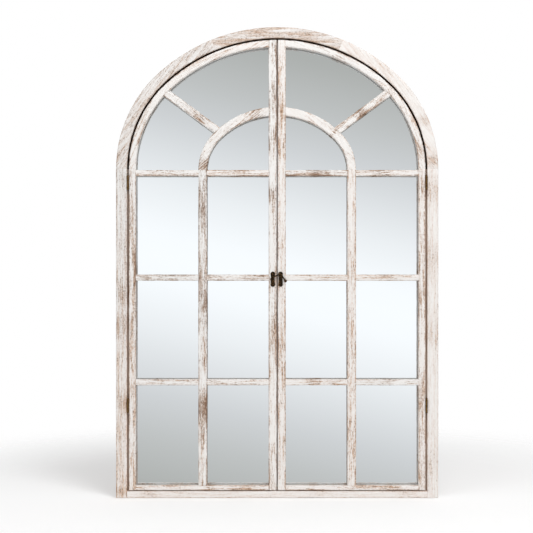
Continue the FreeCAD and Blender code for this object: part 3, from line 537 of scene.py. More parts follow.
def build_frame():
    seat = HangerSeat()
    post = frame_profile(MEMBER, 0.5, seat.columns)
    # the arch pieces' sides and lip beside the doors get painted shade, a dark brown colour
    segment = frame_profile(MEMBER, PAINTED_SHADE)
    for side, name in ((-1, "left"), (1, "right")):
        member(f"frame_post_{name}", "frame", post, *straight(HALF, 0, HALF, SPRING, (-1, 0)),
               side, UPRIGHT, FREE, BUTT, seat)
        run = haunch_and_crown(ARCH, 90 - HAUNCH_ANGLE, lambda a: 90 - JOINT_ANGLE)
        member(f"frame_arch_{name}", "frame", segment, *run, side, FRAME_ARCH_GRAIN, BUTT, BUTT)
    member("frame_sill", "frame", frame_profile(SILL, 0.5),
           *straight(MEMBER - HALF, 0, HALF - MEMBER, 0, (0, 1)), 1, LEVEL, BUTT, BUTT)

    def crown(share, a):
        return ARCH.crown(a, 90 - JOINT_ANGLE + 2 * JOINT_ANGLE * share)
    length = math.radians(2 * JOINT_ANGLE) * ARCH.crown_radius
    member("frame_arch_crown", "frame", segment, crown, length, 1, LEVEL, BUTT, BUTT)
    strip = Profile([(0, LIP_BACK, 0.4, 0.9), (0, LIP_FRONT, 1, 0.9), (MULLION, LIP_FRONT, 1, 0.9),
                     (MULLION, LIP_BACK, 0.4, 0.9)])
    side = -MULLION / 2
    top = ARCH.crown_height(MEMBER + LIP, 0)
    member("frame_mullion", "frame", strip, *straight(side, SILL + LIP, side, top, (1, 0)),
           1, UPRIGHT, TEE, TEE)


def build_door(side, name):
    body = f"{name}_door"
    edge = HALF - DOOR_INSET
    stile_edge = edge - STILE
    meeting_edge = CENTRE_GAP / 2 + MEETING
    rail_top = DOOR_BOTTOM + BOTTOM_RAIL

    def add(node, profile, run, grain, start, end):
        member(f"{name}_{node}", body, profile, *run, side, grain, start, end)

    stile = door_profile(STILE, DOOR_BACK, outer=0.5)
    # the arch rails' outer sides, in the gap under the arch, get painted shade, a dark brown colour
    arch_rail = door_profile(STILE, DOOR_BACK, outer=PAINTED_SHADE)
    add("outer_stile", stile, straight(edge, DOOR_BOTTOM, edge, SPRING, (-1, 0)),
        UPRIGHT, FREE, BUTT)
    turn = 90 - HAUNCH_ANGLE

    def lower_rail(share, a):
        return ARCH.haunch(DOOR_INSET + a, turn * share)
    length = math.radians(turn) * (ARCH.haunch_radius - DOOR_INSET)
    add("arch_rail_lower", arch_rail, (lower_rail, length), LOWER_RAIL_GRAIN, BUTT, BUTT)

    def upper_rail(share, a):
        last = ARCH.crown_turn(DOOR_INSET + a, meeting_edge)
        return ARCH.crown(DOOR_INSET + a, turn + (last - turn) * share)
    length = math.radians(90 - turn) * (ARCH.crown_radius - DOOR_INSET)
    add("arch_rail_upper", arch_rail, (upper_rail, length), UPPER_RAIL_GRAIN, BUTT, TEE)

    def meeting(share, a):
        x = CENTRE_GAP / 2 + a
        top = ARCH.crown_height(DOOR_INSET, x)
        return x, DOOR_BOTTOM + (top - DOOR_BOTTOM) * share
    tall = ARCH.crown_height(DOOR_INSET, 0) - DOOR_BOTTOM
    add("meeting_stile", door_profile(MEETING, DOOR_BACK, outer=0.6), (meeting, tall),
        UPRIGHT, FREE, FREE)
    add("bottom_rail", door_profile(BOTTOM_RAIL, DOOR_BACK, outer=0.7),
        straight(meeting_edge, DOOR_BOTTOM, stile_edge, DOOR_BOTTOM, (0, 1)), LEVEL, BUTT, BUTT)

    muntin_inner, muntin_outer = MUNTIN_X - MUNTIN / 2, MUNTIN_X + MUNTIN / 2
    upright = door_profile(MUNTIN, LATTICE_BACK, MUNTIN_FRONT)
    add("muntin", upright, straight(muntin_outer, rail_top, muntin_outer, INNER_SPRING, (-1, 0)),
        UPRIGHT, TEE, BUTT)
    half = haunch_and_crown(INNER, 90 - INNER_ANGLE, lambda a: INNER.crown_turn(a, meeting_edge))
    add("inner_arch", upright, half, INNER_ARCH_GRAIN, BUTT, TEE)
    bar = door_profile(BAR, LATTICE_BACK, BAR_FRONT)
    for level, middle in BARS.items():
        low = middle - BAR / 2
        add(f"{level}_bar_inner", bar, straight(meeting_edge, low, muntin_inner, low, (0, 1)),
            LEVEL, TEE, TEE)
        add(f"{level}_bar_outer", bar, straight(muntin_outer, low, stile_edge, low, (0, 1)),
            LEVEL, TEE, TEE)

    slope = math.radians(RADIAL_ANGLE)
    run, rise = math.cos(slope), math.sin(slope)

    def reach(a, arch, inset):
        """Where the line a across the bar meets an arch."""
        off = a - RADIAL / 2
        low, high = 0, HALF
        for _ in range(30):
            middle = (low + high) / 2
            x = middle * run - off * rise
            z = RADIAL_FOCUS + middle * rise + off * run
            low, high = (middle, high) if arch.inside(x, z, inset) > 0 else (low, middle)
        return low

    def radial(share, a):
        near = reach(a, INNER, 0)
        far = reach(a, ARCH, DOOR_INSET + STILE)
        at, off = near + (far - near) * share, a - RADIAL / 2
        return at * run - off * rise, RADIAL_FOCUS + at * rise + off * run
    length = reach(RADIAL / 2, ARCH, DOOR_INSET + STILE) - reach(RADIAL / 2, INNER, 0)
    add("radial_bar", door_profile(RADIAL, LATTICE_BACK, BAR_FRONT), (radial, length),
        RADIAL_ANGLE, TEE, TEE)


# ---- materials

class Shader:
    """A material whose nodes are added one call at a time."""

    def __init__(self, name, tree=None):
        if tree is None:
            self.material = bpy.data.materials.new(name)
            self.material.use_nodes = True
            tree = self.material.node_tree
        self.tree = tree
        self.surface = tree.nodes.get("Principled BSDF")

    def node(self, kind, inputs=None, **settings):
        made = self.tree.nodes.new(kind)
        for name, value in settings.items():
            setattr(made, name, value)
        for socket, value in (inputs or {}).items():
            self.feed(made.inputs[socket], value)
        return made

    def feed(self, socket, value):
        if isinstance(value, bpy.types.NodeSocket):
            self.tree.links.new(value, socket)
        else:
            socket.default_value = value

    def math(self, operation, *values, clamp=False):
        return self.node("ShaderNodeMath", dict(enumerate(values)), operation=operation,
                         use_clamp=clamp).outputs[0]

    def scaled(self, vector, scale):
        return self.node("ShaderNodeVectorMath", {0: vector, 1: scale}, operation="MULTIPLY").outputs[0]

    def noise(self, vector, scale, detail=4, rough=0.55, twist=0.0):
        """Noise from about 0 to 1, finer along each axis by its scale, per metre."""
        made = self.node("ShaderNodeTexNoise",
                         {"Vector": self.scaled(vector, scale), "Scale": 1.0, "Detail": detail,
                          "Roughness": rough, "Distortion": twist})
        return made.outputs["Fac"]

    def step(self, value, low, high):
        made = self.node("ShaderNodeMapRange", {"Value": value, "From Min": low, "From Max": high},
                         interpolation_type="SMOOTHSTEP")
        return made.outputs["Result"]

    def mix(self, share, first, second):
        made = self.node("ShaderNodeMix", data_type="RGBA")
        self.feed(made.inputs["Factor"], share)
        self.feed(made.inputs[6], first)
        self.feed(made.inputs[7], second)
        return made.outputs[2]

    def gradient(self, value, stops):
        """A colour that runs through stops of (value, colour)."""
        made = self.node("ShaderNodeValToRGB", {"Fac": value})
        elements = made.color_ramp.elements
        elements[0].position, elements[0].color = stops[0]
        elements[1].position, elements[1].color = stops[-1]
        for position, shade in stops[1:-1]:
            elements.new(position).color = shade
        return made.outputs["Color"]

    def attribute(self, name, output="Fac"):
        return self.node("ShaderNodeAttribute", attribute_name=name).outputs[output]

    def bump(self, height, distance, strength):
        inputs = {"Height": height, "Distance": distance, "Strength": strength}
        return self.node("ShaderNodeBump", inputs).outputs["Normal"]

    def finish(self, **sockets):
        """Feed the surface: the names are the sockets' with _ for a space."""
        for name, value in sockets.items():
            self.feed(self.surface.inputs[name.replace("_", " ")], value)
        return self.material


def colour(red, green, blue):
    """A linear colour from an 8-bit one."""
    return tuple((c / 255) ** 2.2 for c in (red, green, blue)) + (1.0,)


def whitewash():
    """Thin white paint rubbed through to the wood, most of all on edges and along the grain.

    The first scale of a noise runs along the fibres, the other two across them.
    """
    s = Shader("whitewashed_wood")
    fibre = s.attribute("fibre", "Vector")
    edge, paint = s.attribute("edge"), s.attribute("paint")
    bare, warm = s.attribute("bare"), s.attribute("warm")
    hair = s.noise(fibre, (30, 1100, 1100), 4, 0.6)
    grain = s.noise(fibre, (45, 420, 420), 4, 0.65)
    streak = s.noise(fibre, (11, 165, 165), 3, 0.6, 0.3)
    saw = s.noise(fibre, (430, 26, 26), 3, 0.55)
    pit = s.noise(fibre, (130, 330, 330), 3, 0.65)
    blotch = s.noise(fibre, (9, 38, 38), 4, 0.6, 0.4)
    spot = s.noise(fibre, (230, 400, 400), 2, 0.6)

    rugged = s.attribute("rugged")
    wear = s.math("MULTIPLY_ADD", s.math("SUBTRACT", blotch, 0.5), rugged, bare)
    rubbed = s.math("SUBTRACT", 1.0, s.step(edge, 0.3, 1.8))
    flaws = s.math("MULTIPLY", rubbed, 0.2)
    for layer, amount in ((pit, 1.2), (grain, 1.1), (streak, 1.8), (saw, 0.3), (hair, 0.3)):
        flaws = s.math("MULTIPLY_ADD", s.math("SUBTRACT", layer, 0.5), amount, flaws)
    depth = s.math("MULTIPLY_ADD", flaws, rugged, wear)
    grey = s.gradient(depth, ((0.20, colour(245, 244, 242)), (0.46, colour(229, 226, 223)),
                              (0.60, colour(207, 200, 195)), (0.76, colour(165, 154, 147)),
                              (1.0, colour(116, 102, 94))))
    tan = s.gradient(depth, ((0.20, colour(247, 241, 236)), (0.46, colour(236, 224, 216)),
                             (0.60, colour(224, 202, 185)), (0.76, colour(207, 173, 148)),
                             (1.0, colour(148, 112, 86))))
    warmth = s.math("MULTIPLY_ADD", s.math("SUBTRACT", streak, 0.5), 1.4, warm, clamp=True)
    skin = s.mix(warmth, grey, tan)
    dark = s.math("MULTIPLY", s.step(spot, 0.56, 0.62), s.step(depth, 0.3, 0.75))
    skin = s.mix(s.math("MULTIPLY", dark, 0.8), skin, colour(108, 92, 80))

    bare_and_shaded = s.math("SUBTRACT", 1.0, s.step(paint, 0.2, 0.75))
    raw_wood_and_shade = s.mix(s.step(streak, 0.35, 0.65), colour(232, 196, 160), colour(204, 162, 124))
    raw_wood_and_shade = s.mix(s.math("MULTIPLY", s.step(hair, 0.5, 0.7), 0.4), raw_wood_and_shade, colour(150, 108, 76))
    # paint below 0 gives painted shade: dark brown in the gaps beside the arch
    raw_wood_and_shade = s.mix(s.step(paint, -0.4, 0.05), colour(70, 50, 38), raw_wood_and_shade)
    skin = s.mix(bare_and_shaded, skin, raw_wood_and_shade)

    height = s.math("MULTIPLY_ADD", hair, 0.4, s.math("MULTIPLY", grain, 0.5))
    height = s.math("SUBTRACT", height, s.math("MULTIPLY", s.step(depth, 0.3, 0.8), 0.7))
    height = s.math("MULTIPLY_ADD", pit, -0.4, height)
    normal = s.bump(height, 0.0004, 0.8)
    rough = s.math("MULTIPLY_ADD", s.step(depth, 0.3, 0.8), 0.14, 0.64)
    s.surface.inputs["Specular IOR Level"].default_value = 0.35
    return s.finish(Base_Color=skin, Roughness=rough, Normal=normal)


def speckled(name, base, patch, metallic, rough, grain, depth, share=(0.4, 0.65), shine=0.5):
    """A surface of two colours in soft patches, with a fine uneven relief.

    Share is where in the noise the patches begin and end, shine the specular level.
    """
    s = Shader(name)
    where = s.node("ShaderNodeTexCoord").outputs["Object"]
    patches = s.noise(where, (grain,) * 3, 5, 0.65, 0.3)
    fine = s.noise(where, (grain * 6,) * 3, 4, 0.6)
    skin = s.mix(s.step(patches, *share), base, patch)
    roughness = s.math("MULTIPLY_ADD", fine, 0.25, rough - 0.12)
    height = s.math("MULTIPLY_ADD", fine, 0.5, patches)
    s.surface.inputs["Metallic"].default_value = metallic
    s.surface.inputs["Specular IOR Level"].default_value = shine
    return s.finish(Base_Color=skin, Roughness=roughness, Normal=s.bump(height, depth, 0.7))


def hardboard():
    """Pressed wood fibre: long soft clouds, short fibres and a few pale scuffs."""
    s = Shader("hardboard")
    where = s.node("ShaderNodeTexCoord").outputs["Object"]
    cloud = s.noise(where, (7, 7, 4), 5, 0.65, 0.6)
    fibre = s.noise(where, (240, 240, 240), 5, 0.7, 1.2)
    scuff = s.noise(where, (9, 9, 60), 4, 0.6)
    skin = s.mix(s.step(cloud, 0.3, 0.7), colour(146, 108, 76), colour(112, 80, 54))
    skin = s.mix(s.math("MULTIPLY", s.step(fibre, 0.35, 0.7), 0.55), skin, colour(84, 58, 40))
    skin = s.mix(s.math("MULTIPLY", s.step(scuff, 0.6, 0.72), 0.4), skin, colour(176, 142, 108))
    rough = s.math("MULTIPLY_ADD", fibre, 0.3, 0.55)
    return s.finish(Base_Color=skin, Roughness=rough, Normal=s.bump(fibre, 0.0003, 0.8))


def mirror_material():
    """Silvered glass, with a faint unevenness of its tint."""
    s = Shader("mirror")
    where = s.node("ShaderNodeTexCoord").outputs["Object"]
    haze = s.noise(where, (2.2, 2.2, 2.2), 3, 0.5)
    skin = s.mix(haze, (0.905, 0.945, 0.972, 1), (0.912, 0.950, 0.978, 1))
    s.surface.inputs["Metallic"].default_value = 1.0
    s.surface.inputs["Roughness"].default_value = 0.0
    return s.finish(Base_Color=skin)


WOOD = whitewash()
MIRROR = mirror_material()
BRASS = speckled("aged_brass", colour(140, 108, 66), colour(84, 62, 38), 0.85, 0.45, 260, 0.0001)
# the dark bronze's pale gold-brown patches are rubbed-through patina and, in part, painted highlights
BRONZE = speckled("dark_bronze", colour(28, 22, 16), colour(150, 112, 68), 0.15, 0.5, 420, 0.0003,
                  (0.53, 0.64), 0.15)
STEEL = speckled("steel", colour(176, 176, 172), colour(150, 150, 148), 0.95, 0.4, 90, 0.00006)
BOARD = hardboard()
FELT = speckled("felt", colour(92, 88, 82), colour(70, 66, 62), 0.0, 0.95, 1500, 0.0006)
# The material and the record's slot of each finish of the hardware.
FINISHES = {"brass": (BRASS, "aged_brass"), "bronze": (BRONZE, "dark_bronze"),
            "steel": (STEEL, "steel"), "felt": (FELT, "felt")}


# ---- hardware

def circle(radius, segments):
    """Points (u, v) round a circle."""
    turns = [2 * math.pi * i / segments for i in range(segments)]
    return [(radius * math.cos(turn), radius * math.sin(turn)) for turn in turns]


class Shape:
    """Points and faces of a piece of hardware, in millimetres."""

    def __init__(self):
        self.points, self.faces = [], []

    def rings(self, rings, closed=True):
        """Join rings of equal length, with a face at each end where it is closed."""
        base, around = len(self.points), len(rings[0])
        for ring in rings:
            self.points += ring
        for row in range(len(rings) - 1):
            for i in range(around):
                j = (i + 1) % around
                start = base + row * around
                self.faces.append((start + i, start + j, start + around + j, start + around + i))
        if closed:
            end = len(self.points)
            self.faces.append(tuple(range(base, base + around)))
            self.faces.append(tuple(range(end - around, end)))

    def lathe(self, outline, origin, axis, segments=28):
        """Turn (radius, height) pairs about an axis through the origin."""
        axis = Vector(axis).normalized()
        side = axis.orthogonal().normalized()
        other = axis.cross(side)
        rings = []
        for radius, height in outline:
            middle = Vector(origin) + axis * height
            rings.append([middle + side * u + other * v for u, v in circle(max(radius, 0.01), segments)])
        self.rings(rings)

    def slab(self, outline, origin, u, v, thickness, bevel):
        """A flat plate with bevelled edges, from the origin on in the direction of u x v."""
        u, v = Vector(u), Vector(v)
        out = u.cross(v).normalized()
        flat = [Vector(p) for p in outline]
        area = sum(p.x * q.y - q.x * p.y for p, q in zip(flat, flat[1:] + flat[:1]))
        inward = []
        for before, here, after in zip(flat[-1:] + flat[:-1], flat, flat[1:] + flat[:1]):
            came, goes = (here - before).normalized(), (after - here).normalized()
            bisector = Vector((-(came.y + goes.y), came.x + goes.x))
            size = bisector.length
            bisector = bisector / size * min(2 / size, 2) if size > 1e-6 else Vector((0, 0))
            inward.append(bisector * (1 if area > 0 else -1))
        rings = []
        for inset, height in ((1.4 * bevel, 0), (0.4 * bevel, 0.3 * bevel), (0, bevel),
                              (0, thickness - bevel), (bevel, thickness)):
            rings.append([Vector(origin) + u * (p + n * inset).x + v * (p + n * inset).y + out * height
                          for p, n in zip(flat, inward)])
        self.rings(rings)

    def tube(self, path, radii):
        """A rod along a flat path in the front plane, with rounded ends and a radius at each point."""
        path = [Vector(p) for p in path]
        spots = []
        for before, here, after, radius in zip(path[:1] + path[:-1], path, path[1:] + path[-1:], radii):
            spots.append((here, (after - before).normalized(), radius))
        first, last = spots[0], spots[-1]
        for turn in (30, 60, 85):
            push, size = math.sin(math.radians(turn)), math.cos(math.radians(turn))
            spots.insert(0, (first[0] - first[1] * push * first[2], first[1], size * first[2]))
            spots.append((last[0] + last[1] * push * last[2], last[1], size * last[2]))
        rings = []
        for centre, along, size in spots:
            side = Vector((0, 1, 0))
            other = along.cross(side)
            rings.append([centre + side * u + other * v for u, v in circle(size, 16)])
        self.rings(rings)

    def build(self, node, finish, body):
        """Make the piece that stands for a node."""
        material, slot = FINISHES[finish]
        new_object(f"{node}_{finish}", self.points, self.faces, material, body, node, sharp=40)


def dome(radius, height, rim):
    """The outline of a domed head: a rim, then a cap."""
    outline = [(radius * 0.94, 0), (radius, min(rim, 0.2))]
    steps = 6
    for i in range(steps + 1):
        turn = math.pi / 2 * i / steps
        outline.append((radius * math.cos(turn), rim + (height - rim) * math.sin(turn)))
    return outline


def raised(outline, by):
    return [(radius, height + by) for radius, height in outline]


def hinge_leaf(side, low, towards, mine):
    """A leaf whose own knuckles, counted from below, are mine; towards is 1 on the frame's side."""
    knuckle = (HINGE_LENGTH - 2 * KNUCKLE_GAP) / 3
    face = HINGE_X + towards * (KNUCKLE - LEAF / 2)
    front = HINGE_D - KNUCKLE - KNUCKLE_GAP
    high = low + HINGE_LENGTH
    outline = [(HINGE_D - LEAF_REACH, low), (front, low)]
    leaf = Shape()
    bottoms = [low + i * (knuckle + KNUCKLE_GAP) for i in mine]
    for bottom in bottoms:
        top = bottom + knuckle
        outline += [(front, bottom), (HINGE_D, bottom), (HINGE_D, top), (front, top)]
    outline += [(front, high), (HINGE_D - LEAF_REACH, high)]
    # a knuckle at the end of the leaf gives the same point twice
    outline = [point for i, point in enumerate(outline) if point != outline[i - 1]]
    leaf.slab(outline, (side * face - LEAF / 2, 0, 0), (0, 1, 0), (0, 0, 1), LEAF, 0.15)
    inner = KNUCKLE - KNUCKLE_BEVEL
    barrel = [(inner, 0), (KNUCKLE, KNUCKLE_BEVEL), (KNUCKLE, knuckle - KNUCKLE_BEVEL), (inner, knuckle)]
    for bottom in bottoms:
        leaf.lathe(barrel, (side * HINGE_X, HINGE_D, bottom), (0, 0, 1))
    return leaf


def build_hinges():
    pins = Shape()
    head = PIN * 1.3
    pin = [(0.5, -0.25), (head, -0.15), (head, 0.2), (PIN, 0.4), (PIN, HINGE_LENGTH - 0.4),
           (head, HINGE_LENGTH - 0.2), (head, HINGE_LENGTH + 0.15), (0.5, HINGE_LENGTH + 0.25)]
    for side, name in ((-1, "left"), (1, "right")):
        for level, middle in HINGE_LEVELS.items():
            low = middle - HINGE_LENGTH / 2
            for part, body, towards, mine in (("frame", "frame", 1, (0, 2)),
                                              ("door", f"{name}_door", -1, (1,))):
                leaf = hinge_leaf(side, low, towards, mine)
                leaf.build(f"{name}_{level}_hinge_{part}_leaf", "brass", body)
            pins.lathe(pin, (side * HINGE_X, HINGE_D, low), (0, 0, 1), 18)
    pins.build("hinge_pins", "brass", "frame")


def plate_outline():
    """Two round ends joined by a narrower waist."""
    right = []
    steps = 26
    reach = PLATE_HALF - LOBE  # the height of the middle of an end
    for i in range(steps + 1):
        z = PLATE_HALF * math.cos(math.pi * i / steps)
        if abs(z) > reach:
            half = math.sqrt(max(LOBE ** 2 - (abs(z) - reach) ** 2, 0))
        else:
            half = PLATE_WAIST + (LOBE - PLATE_WAIST) * (abs(z) / reach) ** 3
        right.append((half, z))
    return right + [(-x, z) for x, z in right[-2:0:-1]]


def build_latch():
    reach = PLATE_HALF - NAIL_INSET
    front = (0, 1, 0)
    nail = [(0.9, -11), (0.9, -0.2)] + dome(1.9, 1.0, 0.15)
    for role, body, x, heights in (("catch", "left_door", CATCH_X, (-reach, reach)),
                                   ("hook", "right_door", HOOK_X, (-reach, 2))):
        plate = Shape()
        plate.slab(plate_outline(), (x, PLATE_FRONT, LATCH_Z), (1, 0, 0), (0, 0, 1), PLATE, 0.35)
        plate.build(f"{role}_plate", "bronze", body)
        nails = Shape()
        for height in heights:
            nails.lathe(nail, (x, PLATE_FRONT, LATCH_Z + height), front, 16)
        nails.build(f"{role}_nails", "bronze", body)
    stud = Shape()
    shank = [(3.9, 0), (3.9, 0.5), (3.4, 0.9), (3.4, 5.9), (4.6, 5.9)]
    stud.lathe(shank + raised(dome(4.8, 2.0, 0.8)[1:], 5.9), (CATCH_X, PLATE_FRONT, LATCH_Z), front)
    stud.build("catch_stud", "bronze", "left_door")
    rivet = Shape()
    collar = ROD_D - EYE_HALF - PLATE_FRONT
    head = ROD_D + EYE_HALF - PLATE_FRONT
    rivet.lathe([(4, 0), (4, collar), (1.8, collar), (1.8, head)] + raised(dome(4, 1.5, 0.3), head),
                (HOOK_X, PLATE_FRONT, PIVOT_Z), front)
    rivet.build("hook_pivot", "bronze", "right_door")
    build_hook()


def build_hook():
    """The eye round the rivet, a rod that bends round the stud, and a tail with a ball."""
    hook = Shape()
    eye = []
    for radius, depth in ((1.95, -1.0), (2.3, -1.3), (5.1, -1.3), (5.5, -0.9), (5.5, 0.9), (5.1, 1.3),
                          (2.3, 1.3), (1.95, 1.0), (1.95, -1.0)):
        eye.append([Vector((HOOK_X + u, ROD_D + depth, PIVOT_Z + v)) for u, v in circle(radius, 32)])
    hook.rings(eye, closed=False)
    span, rise = HOOK_X - CATCH_X, PIVOT_Z - LATCH_Z
    entry = math.degrees(math.atan2(rise, span) + math.acos(BEND / math.hypot(span, rise)))
    start = Vector((HOOK_X, ROD_D, PIVOT_Z))

    def on_bend(turn):
        at = math.radians(turn)
        return Vector((CATCH_X + BEND * math.cos(at), ROD_D, LATCH_Z + BEND * math.sin(at)))
    first = on_bend(entry)
    path = [start.lerp(first, share) for share in (0.2, 0.4, 0.6, 0.8)]
    path += [on_bend(entry + HOOK_WRAP * i / 14) for i in range(15)]
    hook.tube(path, [STEM, STEM, STEM, (STEM + ROD) / 2] + [ROD] * 15)
    fall = math.radians(TAIL_ANGLE)
    knob = start + Vector((math.cos(fall), 0, -math.sin(fall))) * TAIL
    hook.tube([start.lerp(knob, share) for share in (0.2, 0.4, 0.6, 0.8, 0.95)], [STEM] * 5)
    ball = [(KNOB * math.sin(math.pi * i / 14), -KNOB * math.cos(math.pi * i / 14)) for i in range(15)]
    hook.lathe(ball, knob, knob - start)
    hook.build("latch_hook", "bronze", "latch_hook")


def clip_places():
    """Middle of each clip (x, z) and the direction, in degrees, from the board to the frame."""
    places = []
    for side in (1, -1):
        for height in CLIP_HEIGHTS:
            places.append((side * (HALF - MEMBER), height, 0 if side > 0 else 180))
        places.append((side * CLIP_SILL_X, SILL, 270))
        for arc, turn in ((ARCH.haunch, CLIP_HAUNCH), (ARCH.crown, CLIP_CROWN)):
            x, z = arc(MEMBER, turn)
            places.append((side * x, z, turn if side > 0 else 180 - turn))
    return places


def screw_head(shape, x, z, seat):
    """A pan head with a cross recess, on a seat behind the frame."""
    rings = []
    for radius, height in ((2.8, 0), (2.8, 0.7), (2.55, 1.2), (2.1, 1.5), (1.7, 1.58), (1.35, 1.6),
                           (1.1, 1.6), (0.8, 1.6), (0.45, 1.6), (0.1, 1.6)):
        ring = []
        for u, v in circle(radius, 32):
            sunk = 0.9 if radius < 1.4 and min(abs(u), abs(v)) < 0.3 else 0
            ring.append(Vector((x + u, -(seat + height - sunk), z + v)))
        rings.append(ring)
    shape.rings(rings)


def clip_outline():
    """A plate with round corners."""
    outline = []
    for u, v, first in ((CLIP_HALF, CLIP_CORNER, 0), (-CLIP_HALF, CLIP_CORNER, 90),
                        (-CLIP_HALF, -CLIP_CORNER, 180), (CLIP_HALF, -CLIP_CORNER, 270)):
        for step in range(5):
            turn = math.radians(first + 90 * step / 4)
            outline.append((u + CLIP_CORNER * math.cos(turn), v + CLIP_CORNER * math.sin(turn)))
    return outline


def build_back():
    clips, screws, pads = Shape(), Shape(), Shape()
    for x, z, direction in clip_places():
        at = math.radians(direction)
        along = Vector((math.cos(at), 0, math.sin(at)))
        across = Vector((-math.sin(at), 0, math.cos(at)))
        clips.slab(clip_outline(), (x, 0, z), along, across, CLIP, 0.3)
        hole = Vector((x, 0, z)) + along * CLIP_HOLE
        screw_head(screws, hole.x, hole.z, CLIP)
    post_x = HALF - MEMBER / 2
    pad = [(8, 0), (8, 3), (7.7, 3.6), (7, 4), (3.5, 4), (0.1, 4)]
    for side in (-1, 1):
        for step in (-PLATE_SCREW, PLATE_SCREW):
            screw_head(screws, side * post_x, HANGER_Z + step, 0)
        for x, z in ((post_x, PAD_Z), ARCH.haunch(MEMBER / 2, PAD_HAUNCH)):
            pads.lathe(pad, (side * x, 0, z), (0, -1, 0), 40)
    clips.build("retaining_clips", "steel", "frame")
    screws.build("back_screws", "steel", "frame")
    pads.build("wall_pads", "felt", "frame")


def dress_nodes():
    """Give the CAD nodes that stay their materials."""
    for node, material in (("mirror_glass", MIRROR), ("backing_board", BOARD), ("hanger_plates", STEEL),
                           ("frame_leaf_screws", BRASS), ("left_leaf_screws", BRASS),
                           ("right_leaf_screws", BRASS)):
        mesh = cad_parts[node].data
        mesh.materials.clear()
        mesh.materials.append(material)


# ---- studio

# The reflected room: degrees from the middle of its bright band, brightness, and the share of blue.
BAND = ((0, 1.04, 1), (1.2, 1.03, 1), (2, 0.995, 1), (3.5, 0.92, 1), (5, 0.822, 1), (7, 0.685, 1),
        (9, 0.575, 0.975), (11.5, 0.465, 0.95), (16, 0.41, 0.95), (35, 0.45, 0.97), (90, 0.75, 1))
BAND_SLOPE = 0.24  # how far it falls from left to right
BAND_DROP = 0.8  # degrees from the level of the eye down to its middle
AMBIENT = 0.56


def build_world():
    """White to the camera, even light on the object, and a soft bright band in reflections."""
    world = bpy.data.worlds.new("studio")
    bpy.context.scene.world = world
    world.use_nodes = True
    tree = world.node_tree
    tree.nodes.clear()
    s = Shader("studio", tree)
    direction = s.node("ShaderNodeTexCoord").outputs["Generated"]
    split = s.node("ShaderNodeSeparateXYZ", {0: direction}).outputs
    height = s.math("ARCSINE", split["Z"])
    lean = s.math("MULTIPLY_ADD", split["X"], BAND_SLOPE, height)
    degrees = s.math("ABSOLUTE", s.math("MULTIPLY_ADD", lean, 180 / math.pi, BAND_DROP))
    stops = [(turn / 90, (grey, grey, grey * blue, 1)) for turn, grey, blue in BAND]
    band = s.gradient(s.math("DIVIDE", degrees, 90), stops)
    path = s.node("ShaderNodeLightPath").outputs
    lights = s.node("ShaderNodeBackground", {"Color": (1, 1, 1, 1), "Strength": AMBIENT})
    seen = s.node("ShaderNodeBackground", {"Color": (1, 1, 1, 1), "Strength": 1.0})
    mirrored = s.node("ShaderNodeBackground", {"Color": band, "Strength": 1.0})
    mixed = s.node("ShaderNodeMixShader", {0: path["Is Glossy Ray"], 1: lights.outputs[0],
                                           2: mirrored.outputs[0]})
    mixed = s.node("ShaderNodeMixShader", {0: path["Is Camera Ray"], 1: mixed.outputs[0],
                                           2: seen.outputs[0]})
    s.node("ShaderNodeOutputWorld", {"Surface": mixed.outputs[0]})


def area_light(name, place, aim, size, power):
    """A round soft lamp that is not seen itself."""
    data = bpy.data.lights.new(name, "AREA")
    data.shape = "DISK"
    data.size = size
    data.energy = power
    lamp = bpy.data.objects.new(name, data)
    lamp.location = place
    lamp.rotation_euler = (Vector(aim) - Vector(place)).to_track_quat("-Z", "Y").to_euler()
    lamp.visible_camera = False
    lamp.visible_glossy = False
    bpy.context.scene.collection.objects.link(lamp)


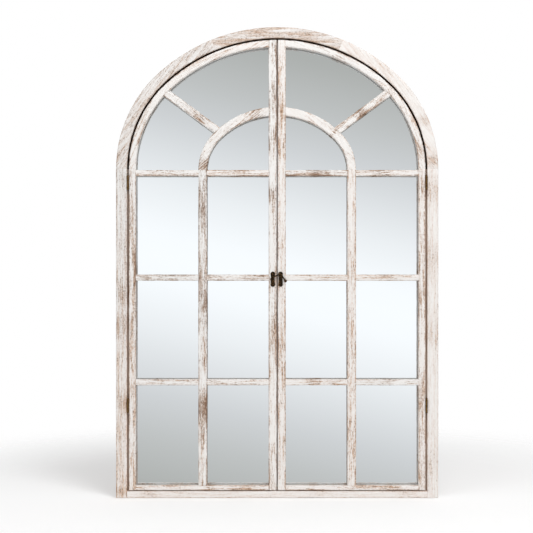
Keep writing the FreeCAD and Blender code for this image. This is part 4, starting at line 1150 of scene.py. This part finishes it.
def build_floor():
    """A pale disc under the object that fades into the white surroundings."""
    mesh = bpy.data.meshes.new("floor")
    rim = [(x, y, 0) for x, y in circle(1.6, 96)]
    mesh.from_pydata(rim, [], [tuple(range(len(rim)))])
    floor = bpy.data.objects.new("floor", mesh)
    floor.location = (0, 0, -HANGER_Z * MM - 0.0006)
    bpy.context.scene.collection.objects.link(floor)
    s = Shader("floor")
    s.tree.nodes.clear()
    where = s.node("ShaderNodeTexCoord").outputs["Object"]
    distance = s.node("ShaderNodeVectorMath", {0: where}, operation="LENGTH").outputs["Value"]
    mottle = s.noise(where, (3, 3, 3), 4)
    skin = s.mix(mottle, (0.90, 0.90, 0.90, 1), (0.92, 0.92, 0.92, 1))
    camera = s.node("ShaderNodeLightPath").outputs["Is Camera Ray"]
    diffuse = s.node("ShaderNodeBsdfDiffuse", {"Color": skin})
    lift = s.node("ShaderNodeEmission", {"Strength": s.math("MULTIPLY", camera, 0.18)})
    lit = s.node("ShaderNodeAddShader", {0: diffuse.outputs[0], 1: lift.outputs[0]})
    clear = s.node("ShaderNodeBsdfTransparent")
    fade = s.step(distance, 0.7, 1.5)
    surface = s.node("ShaderNodeMixShader", {0: fade, 1: lit.outputs[0], 2: clear.outputs[0]})
    s.node("ShaderNodeOutputMaterial", {"Surface": surface.outputs[0]})
    mesh.materials.append(s.material)
    floor.visible_glossy = False


def build_camera():
    """The photograph's view: 533 pixels wide at 2.636 mm each in the plane of the front."""
    away = 3.0  # from the camera to the front of the frame
    aim_x, aim_z = -0.0282, 610.5
    data = bpy.data.cameras.new("camera")
    data.sensor_width = 36
    data.lens = 36 * away / (533 * 0.002636)
    camera = bpy.data.objects.new("camera", data)
    camera.location = (aim_x, -(DEPTH * MM + away), (aim_z - HANGER_Z) * MM)
    camera.rotation_euler = (math.pi / 2, 0, 0)
    bpy.context.scene.collection.objects.link(camera)
    bpy.context.scene.camera = camera


build_frame()
build_door(-1, "left")
build_door(1, "right")
build_hinges()
build_latch()
build_back()
dress_nodes()
build_world()
area_light("key", (1.3, -2.4, 1.7), (0, 0, 0.1), 1.5, 27)
area_light("top", (0.5, -1.3, 2.5), (0, 0, -0.2), 1.2, 19)
area_light("fill", (-1.8, -2.2, 0.6), (0, 0, 0), 1.6, 11)
build_floor()
build_camera()
bpy.context.scene.view_settings.view_transform = "Standard"
